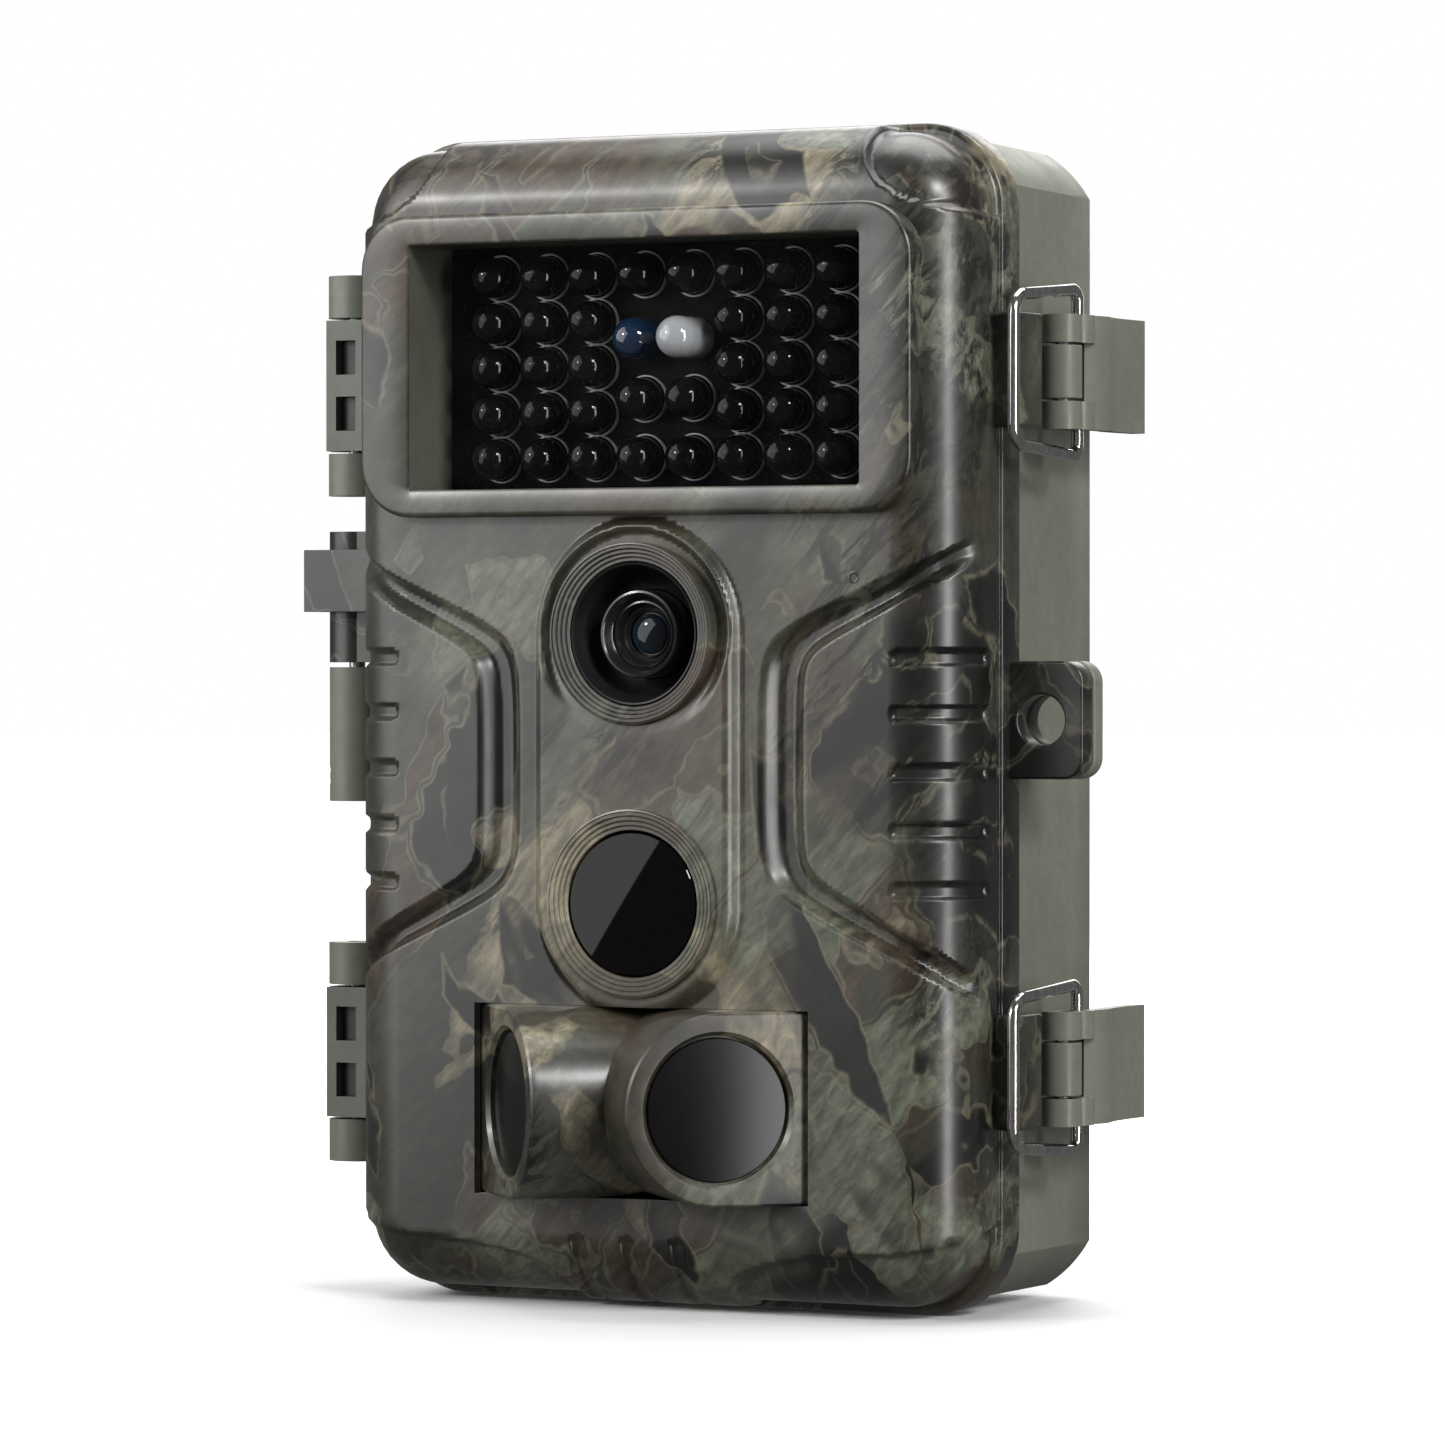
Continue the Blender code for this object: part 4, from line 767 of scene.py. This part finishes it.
def cover_hardware():
    """What stands out of the cover's sides: hinge leaves, the middle knuckle, catches and the lock tab."""
    for name, (low, high) in HINGE_LEAVES.items():
        leaf = block((-51.5, HINGE.y - KNUCKLE, low), (-39.5, HINGE.y - 0.4, high))
        knuckle = drum(KNUCKLE, (HINGE.x, HINGE.y, low), (HINGE.x, HINGE.y, high))
        pockets = [block((-50.1, HINGE.y - 5, z - 2.1), (-47.3, HINGE.y - 1.9, z + 2.1))
                   for z in (low + 4.6, low + 11.5)]
        mesh = carve(leaf, [knuckle], [*pockets, knuckle_pin_bore(low - 1, high + 1)], 0.28)
        add_piece(f"cover_hinge_{name}", mesh, material=HINGE_FILM)
        # A thin black plate on the floor of each hinge pocket: painted shade, a dark sheet that stands in for
        # the shadow deep in the pocket.
        for place_name, z in (("low", low + 4.6), ("high", low + 11.5)):
            floor_y = HINGE.y - 1.9
            dark = carve(block((-50.05, floor_y - 0.12, z - 2.05), (-47.35, floor_y, z + 2.05)), bevel=0.05)
            add_piece(f"hinge_{name}_pocket_shade_{place_name}", dark, "black_plastic")
    low, high = 76.7, 92.8
    barrel = drum(KNUCKLE, (HINGE.x, HINGE.y, low), (HINGE.x, HINGE.y, high))
    parts = [barrel, block((HINGE.x, -3.4, low), (-39.5, -0.9, high))]
    bore = knuckle_pin_bore(low - 1, high - 1.4)
    mesh = carve(block((-52.6, -7.4, 82.9), (-39.5, -0.9, 90.5)), parts, [bore], 0.5, 3)
    add_piece("cover_hinge_centre", mesh)
    for name, middle in LATCHES.items():
        mesh = carve(block((40.2, -6.9, middle - 6.75), (44.6, -0.45, middle + 6.75)), bevel=0.55, segments=3)
        add_piece(f"catch_{name}", mesh)
    add_piece("cover_lock_tab", lock_tab(-3.1, -0.3, 40.0))


def lock_tab(front, back, root):
    """A tab with the padlock hole and two round corners."""
    corner, outer = 2.5, 50.9
    low, high = LOCK_TAB_Z
    outline = [(root, low)] + arc((outer - corner, low + corner), corner, -90, 0, 8)
    outline += arc((outer - corner, high - corner), corner, 0, 90, 8) + [(root, high)]
    hole = drum(3.0, (LOCK_HOLE[0], front - 1, LOCK_HOLE[1]), (LOCK_HOLE[0], back + 1, LOCK_HOLE[1]))
    return carve(slab(outline, front, back), cut=[hole], bevel=0.35, segments=3)


def side_housing():
    """The moulding of the side sensors: two tongues with round lips that cross in the middle."""
    back = node_box("side_sensor_housing")[1].y
    tongues, cutters = [], [block((-40, back, 0), (40, 40, 60))]
    for side in (-1, 1):
        outline = arc((0, 0), SIDE_BARREL, 90, 270, 48) + [(16, -SIDE_BARREL), (16, SIDE_BARREL)]
        outline = [(side * a, z) for a, z in outline]
        turn = (Matrix.Translation(Vector((side * SIDE_X, SIDE_Y, SIDE_Z)))
                @ Matrix.Rotation(side * radians(45), 4, "Z"))
        rings = []
        for inset, depth in ((1.1, 0.0), (0.35, 0.08), (0.08, 0.35), (0.0, 1.0), (0.0, 22.0)):
            scale = 1 - inset / SIDE_BARREL
            rings.append([turn @ Vector((a * (scale if abs(a) < 15 else 1), depth, z * scale))
                          for a, z in outline])
        tongues.append(shape(loft(rings, ring_shaped=False)))
        away = Vector((side * cos(radians(45)), -sin(radians(45)), 0))
        front = Vector((side * SIDE_X, SIDE_Y, SIDE_Z))
        seat = [(0, 3), (SIDE_WINDOW + 0.75, 3), (SIDE_WINDOW + 0.75, 0.0), (SIDE_WINDOW + 0.3, -0.5),
                (SIDE_WINDOW + 0.3, -1.5), (7.4, -1.5), (7.4, -14), (0, -14)]
        cutters.append(shape(turned(seat, front, away, 96)))
    mesh = carve(tongues[0], [tongues[1]], cutters, bevel=0)
    add_piece("side_sensor_body", mesh, replaced=["side_sensor_housing"], smooth_angle=28)


# -------- lamps, lens and sensors

def lamp_profile(length, radius=2.45):
    """A lamp on its plate: a straight body with a round dome."""
    dome = arc((0, length - radius), radius, 0, 90, 12)[:-1]
    return [(0, -0.6), (radius, -0.6), *dome, (0, length)]


def lamp_places():
    for column in range(8):
        x = LAMP_PITCH * (column - 3.5)
        rows = LAMP_ROWS if abs(x) > LAMP_PITCH else (LAMP_ROWS[0], 108.1, LAMP_ROWS[4])
        for z in rows:
            yield x, z


def lamps():
    """The lamp plate with a sunk ring round each lamp, the infrared lamps and the two indicators."""
    low, high = node_box("led_board")
    plate_y = low.y + 5.0
    plate = block((-32, plate_y, low.z), (32, plate_y + 1.4, high.z))
    add_piece("lamp_plate", carve(plate, bevel=0.1), "smoked_lamp", replaced=["led_board"],
              material=LAMP_PLATE)
    bulbs, collars = bmesh.new(), bmesh.new()
    collar = soften([(2.62, -0.3), (2.62, 0.42), (2.86, 0.42), (2.86, -0.3)], 0.08, closed=True)
    for x, z in lamp_places():
        turned(lamp_profile(5.0), (x, plate_y, z), steps=32, into=bulbs)
        turned(collar, (x, plate_y, z), steps=40, into=collars)
    add_piece("infrared_lamps", bulbs, "smoked_lamp")
    add_piece("lamp_collars", collars, "smoked_lamp", material=LAMP_COLLAR_TONE_AND_HIGHLIGHT)
    for name, side, length in (("blue", -1, 5.8), ("white", 1, 7.2)):
        centre = (side * LAMP_PITCH / 2, plate_y, INDICATOR_Z)
        bulb = turned(lamp_profile(length, 2.5), centre, steps=64)
        add_piece(f"indicator_{name}", bulb, f"{name}_lamp", replaced=[f"led_{name}"])


def lens():
    """The hood's black bowl, the barrel with its rings and the glass."""
    centre = (0, 0, LENS_Z)
    hood = [(8.5, 12.6), (8.5, 18.8), (8.35, 19.0), (8.15, 18.9), (7.9, 17.6), (7.3, 15.6), (6.6, 14.4),
            (5.35, 13.9), (5.35, 12.6)]
    add_piece("hood_bowl", turned(hood, centre), "black_plastic", replaced=["lens_hood"])
    barrel = [(0, 10.8), (5.2, 10.8), (5.2, 17.4), (5.1, 17.65), (4.85, 17.7), (4.65, 17.5), (4.4, 16.5),
              (4.0, 16.2), (3.9, 16.5), (3.7, 16.55), (3.5, 16.2), (3.3, 15.3), (2.9, 15.0), (2.75, 15.2),
              (2.6, 15.1), (2.5, 14.6), (0, 14.6)]
    add_piece("barrel_rings", turned(barrel, centre), "black_plastic", replaced=["lens_barrel"],
              material=BARREL_BLACK)
    dome = [(2.4 * sin(a), 14.7 + 0.9 * cos(a)) for a in np.linspace(0, pi / 2, 12)]
    glass = [(0, 15.6)] + dome[1:] + [(2.4, 14.5), (0, 14.5)]
    add_piece("front_glass", turned(glass, centre), "lens_glass", replaced=["lens_element"])


def sensor_windows():
    """The three film windows, slightly domed, each with a fine bead round it."""
    front = [(0, 18.6), (8.45, 18.6), (8.45, 19.15), (8.3, 19.3)]
    front += [(r, 19.3 + 0.1 * (1 - (r / 8.3) ** 2)) for r in np.linspace(8.2, 0, 16)]
    add_piece("front_film", turned(front, (0, 0, PIR_Z)), "sensor_film", replaced=["pir_window_front"])
    for name, side in (("left", -1), ("right", 1)):
        away = Vector((side * cos(radians(45)), -sin(radians(45)), 0))
        profile = [(0, -1.4), (SIDE_WINDOW, -1.4), (SIDE_WINDOW, -0.95), (SIDE_WINDOW - 0.15, -0.8)]
        profile += [(r, -0.8 + 0.3 * (1 - (r / 8.3) ** 2)) for r in np.linspace(8.2, 0, 16)]
        film = turned(profile, (side * SIDE_X, SIDE_Y, SIDE_Z), away)
        add_piece(f"side_film_{name}", film, "sensor_film", replaced=[f"pir_window_{name}"],
                  material=SIDE_FILM)


# -------- rear case

def case_shell():
    """The rear case: chamfered corners, a seal groove in its rim and a hollow inside."""
    low, back = 1.5, 24.5

    def ring(half, bottom, corner, y, flatness):
        top = HEIGHT - bottom - 0.025 * max(y, 0)
        return at_depth(rounded_rectangle(half, (bottom, top), corner, flatness=flatness), y)

    side = 39.6
    rings = [ring(37.2, 3.9, 8.0, 22.1, 0.3), ring(37.2, 3.9, 8.0, 2.6, 0.3), ring(35.4, 5.7, 7.0, 2.6, 0.3),
             ring(35.4, 5.7, 7.0, 0.15, 0.3), ring(36.6, 4.5, 9.0, 0.15, 0), ring(36.6, 4.5, 9.0, 1.5, 0),
             ring(38.3, 2.8, 10.7, 1.5, 0), ring(38.3, 2.8, 10.7, 0.15, 0),
             ring(side - 0.25, low + 0.25, 5.5, 0.15, 0.7), ring(side, low, 5.5, 0.4, 0.7)]
    for y in (8.0, 16.0):
        rings.append(ring(side, low, 5.5, y, 0.7))
    for angle in np.radians(np.linspace(0, 90, 7)):
        inset = 1.8 * (1 - cos(angle))
        rings.append(ring(side - inset, low + inset, 5.5, back - 1.8 + 1.8 * sin(angle), 0.7))
    rings += [ring(33.0, 8.0, 5.0, back, 0.6), ring(32.6, 8.4, 5.0, back - 0.5, 0.6)]
    add_piece("case_shell", loft(rings, ring_shaped=False), "olive_plastic", "case", ["rear_case"],
              smooth_angle=32)


def case_hardware():
    """What is moulded on the case: hinge ears, latch lugs, the lock tab, strap rails and tripod boss."""
    for name, (low, high) in HINGE_LEAVES.items():
        for place_name, (z0, z1) in {"low": (low - 5.5, low - 0.3), "high": (high + 0.3, high + 5.5)}.items():
            knuckle = drum(3.5, (HINGE.x, HINGE.y, z0), (HINGE.x, HINGE.y, z1))
            web = block((HINGE.x, 0.3, z0), (-39.0, 2.6, z1))
            mesh = carve(knuckle, [web], [knuckle_pin_bore(z0 - 1, z1 + 1)], 0.25)
            add_piece(f"case_ear_{name}_{place_name}", mesh, "olive_plastic", "case")
    low, high = 59.6, 76.1
    barrel = drum(KNUCKLE, (HINGE.x, HINGE.y, low), (HINGE.x, HINGE.y, high))
    grub = Vector((HINGE.x, HINGE.y, 62.77))
    away = Vector((-0.90, -0.44, 0)).normalized()
    cutters = [knuckle_pin_bore(low - 1, high + 1), drum(1.3, grub, grub + away * 5, 48)]
    web = block((HINGE.x, 0.3, low), (-39.0, 2.6, high))
    add_piece("case_barrel", carve(barrel, [web], cutters, 0.22), "olive_plastic", "case")
    for name, middle in LATCHES.items():
        lug = drum(2.35, (*LEVER_PIN, middle - 3.15), (*LEVER_PIN, middle + 3.15))
        web = block((39.0, LEVER_PIN.y - 1.5, middle - 3.15), (LEVER_PIN.x, LEVER_PIN.y + 1.5, middle + 3.15))
        add_piece(f"latch_lug_{name}", carve(lug, [web], bevel=0.15), "olive_plastic", "case")
    add_piece("case_lock_tab", lock_tab(0.3, 2.7, 39.0), "olive_plastic", "case")
    for name, side in (("left", -1), ("right", 1)):
        add_piece(f"strap_rail_{name}", strap_rail(side), "olive_plastic", "case")
    boss = turned([(4.9, 0.0), (7.6, 0.0), (8.0, 0.4), (8.0, 2.5), (4.9, 2.5)], (0, 12, 0), Z_AXIS)
    add_piece("tripod_boss", boss, "olive_plastic", "case")


def strap_rail(side):
    """A rail on the back with a slot for the strap and teeth above and below it."""
    back, tooth, low, high = CASE_BACK, 1.6, 38.0, 102.0
    middle = (low + high) / 2
    edge = [(back, middle)]
    for step in range(5):
        reach = 18.0 + 4.0 * step
        edge += [(back, middle + reach), (back - tooth, middle + reach + 2.0)]
    edge.append((back, high))
    upper = soften([(23.5, middle)] + edge + [(23.5, high)], 0.35, closed=True)
    lower = [(y, 2 * middle - z) for y, z in upper]
    x = 16.0 * side
    rail = slab(upper, x - 4, x + 4, "X")
    other = slab(lower, x - 4, x + 4, "X")
    slot = block((x - 5, 25.1, middle - 14), (x + 5, 29.6, middle + 14))
    return carve(rail, [other], [slot], 0.3)


# -------- latches

def smooth_path(points, steps=6):
    """Points of a curve through some points."""
    points = [Vector(p) for p in points]
    ends = [points[0] * 2 - points[1]] + points + [points[-1] * 2 - points[-2]]
    out = []
    for a, b, c, d in zip(ends, ends[1:], ends[2:], ends[3:]):
        for k in range(steps):
            t = k / steps
            out.append((2 * b + (c - a) * t + (2 * a - 5 * b + 4 * c - d) * t ** 2
                        + (3 * b - 3 * c + d - a) * t ** 3) / 2)
    return out + [points[-1]]


def latch_lever(middle):
    """Two cheeks on the pivot pin and a thumb plate with an easy S bend."""
    half, lug = 6.75, 3.45
    path = smooth_path([(45.6, 7.4), (46.6, 9.2), (46.8, 11.0), (46.3, 13.4), (46.1, 15.6), (46.1, 19.0),
                        (46.3, 22.4)])
    left, right = [], []
    for before, here, after in zip([path[0]] + path, path, path[1:] + [path[-1]]):
        along = (after - before).normalized()
        across = Vector((-along.y, along.x)) * 0.9
        left.append(tuple(here + across))
        right.append(tuple(here - across))
    plate = slab(left + right[::-1], middle - half, middle + half, "Z")
    add, cut = [], [drum(PIN_BORE, (*LEVER_PIN, middle - 8), (*LEVER_PIN, middle + 8), 32)]
    for z0, z1 in ((middle - half, middle - lug), (middle + lug, middle + half)):
        add += [drum(2.35, (*LEVER_PIN, z0), (*LEVER_PIN, z1)), drum(2.1, (*BAIL_PIN, z0), (*BAIL_PIN, z1))]
    for end, inner in ((middle - half - 1, middle - half + 2.4), (middle + half - 2.4, middle + half + 1)):
        cut.append(drum(1.05, (*BAIL_PIN, end), (*BAIL_PIN, inner), 32))
    return carve(plate, add, cut, 0.22)


def tube(points, radius, sides=20):
    """A round wire through the points with rounded ends."""
    points = [Vector(p) for p in points]
    along = [(b - a).normalized() for a, b in zip([points[0]] + points[:-1], points[1:] + [points[-1]])]
    along[0], along[-1] = (points[1] - points[0]).normalized(), (points[-1] - points[-2]).normalized()
    across = along[0].orthogonal().normalized()
    rings = []
    for point, way in zip(points, along):
        across = (across - way * across.dot(way)).normalized()
        other = way.cross(across)
        rings.append([point + (across * cos(a) + other * sin(a)) * radius
                      for a in (2 * pi * k / sides for k in range(sides))])
    for end, way in ((0, -along[0]), (-1, along[-1])):
        centre = points[end]
        cap = [centre + (p - centre) * 0.6 + way * radius * 0.3 for p in rings[end]]
        rings.insert(0, cap) if end == 0 else rings.append(cap)
    return loft(rings, ring_shaped=False)


def latch_bail(middle):
    """The wire bail: a rounded rectangle whose ends turn into the lever's cheeks."""
    pivot_x, pivot_y = BAIL_PIN
    front, reach, bend, foot, lean, splay = -8.0, 8.85, 2.6, 4.85, -1.2, 0.9
    corners = [(pivot_y, foot)] + arc((pivot_y - bend / 2, reach + splay - bend / 2), bend / 2, 0, 90, 8)
    corners += arc((front + bend, reach - bend), bend, 90, 180, 12)
    half = [(pivot_x + lean * (pivot_y - y) / (pivot_y - front), y, middle + z) for y, z in corners]
    other = [(x, y, 2 * middle - z) for x, y, z in reversed(half)]
    return tube(half + other, 0.75)


def latches():
    for name, middle in LATCHES.items():
        add_piece(f"lever_{name}_plate", latch_lever(middle), "olive_plastic", f"lever_{name}",
                  [f"latch_lever_{name}"])
        add_piece(f"bail_{name}_wire", latch_bail(middle), "chrome_wire", f"bail_{name}",
                  [f"latch_bail_{name}"])


# -------- carried-over nodes

def finish_nodes():
    """Give every CAD node that stays its procedural finish."""
    for obj in NODES.values():
        slot = obj.data.materials[0].name.split(".")[0]
        obj.data.materials[0] = FINISHES[slot]


# -------- stage

def floor():
    """A pale table: white further out, and left to catch the soft shadow near the object."""
    bm = bmesh.new()
    bmesh.ops.create_circle(bm, cap_ends=True, segments=96, radius=6000)
    table = shape(bm, "floor")
    material, tree, shader = new_material("pale_floor", 0.6, Specular_IOR_Level=0.1)
    shader.inputs["Base Color"].default_value = rgba(0.86, 0.86, 0.86)
    where = add_node(tree, "TexCoord").outputs["Object"]
    far = add_node(tree, "VectorMath", {0: where}, operation="LENGTH").outputs["Value"]
    glow = band(tree, far, 0.060, 0.15, 0.0, 1.0)
    feed(tree, shader, "Emission Strength", glow)
    shader.inputs["Emission Color"].default_value = rgba(1, 1, 1)
    table.data.materials.append(material)
    table.visible_diffuse = False
    table.visible_glossy = False


def soft_light(name, centre, target, size, radiance, roll=0.0):
    """A soft rectangular light that faces a target. Roll turns it in its own plane."""
    data = bpy.data.lights.new(name, "AREA")
    data.shape = "RECTANGLE"
    data.size, data.size_y = size
    data.energy = radiance * pi * size[0] * size[1]
    light = bpy.data.objects.new(name, data)
    light.location = centre
    towards = Vector(centre) - Vector(target)
    facing = towards.to_track_quat("Z", "Y").to_matrix() @ Matrix.Rotation(radians(roll), 3, "Z")
    light.rotation_mode = "QUATERNION"
    light.rotation_quaternion = facing.to_quaternion()
    bpy.context.scene.collection.objects.link(light)


def lights():
    """A large card near the left, cards above and behind, a strip at the right, and two small lights."""
    middle = (0, 0, 0.07)
    soft_light("key", (-0.224, -0.221, 0.186), middle, (0.36, 0.36), 2.3, roll=-30)
    soft_light("overhead", (0.0, 0.16, 0.72), middle, (0.6, 0.6), 4.5)
    soft_light("right_strip", (0.73, -0.25, 0.16), middle, (0.15, 0.8), 12.0)
    soft_light("spot_right", (0.62, -0.36, 0.50), middle, (0.15, 0.15), 38.0)
    soft_light("spot_left", (-0.42, -0.60, 0.36), middle, (0.07, 0.07), 80.0)
    soft_light("back_fill", (-0.30, 0.85, 0.40), middle, (0.6, 0.6), 2.5)
    world = bpy.data.worlds.new("studio")
    world.use_nodes = True
    tree = world.node_tree
    camera_ray = add_node(tree, "LightPath").outputs["Is Camera Ray"]
    strength = add_node(tree, "MapRange", {0: camera_ray, 3: 0.13, 4: 1.0}).outputs[0]
    background = tree.nodes["Background"]
    background.inputs["Color"].default_value = rgba(1, 1, 1)
    tree.links.new(strength, background.inputs["Strength"])
    bpy.context.scene.world = world
    bpy.context.scene.view_settings.view_transform = "Standard"


def camera():
    """The viewing angle: 28 degrees to the right of the front, a little below level."""
    azimuth, pitch = radians(28.1), radians(0.574)
    data = bpy.data.cameras.new("camera")
    data.lens, data.sensor_width, data.clip_start = 167.8, 36.0, 0.01
    eye = bpy.data.objects.new("camera", data)
    eye.location = (0.3827, -0.7134, 0.0776)
    view = Vector((-sin(azimuth) * cos(pitch), cos(azimuth) * cos(pitch), -sin(pitch)))
    eye.rotation_mode = "QUATERNION"
    eye.rotation_quaternion = view.to_track_quat("-Z", "Y")
    bpy.context.scene.collection.objects.link(eye)
    bpy.context.scene.camera = eye


camera()
lights()
floor()
cover_shell()
window_bezel()
rims()
cover_hardware()
side_housing()
lamps()
lens()
sensor_windows()
case_shell()
case_hardware()
latches()
finish_nodes()
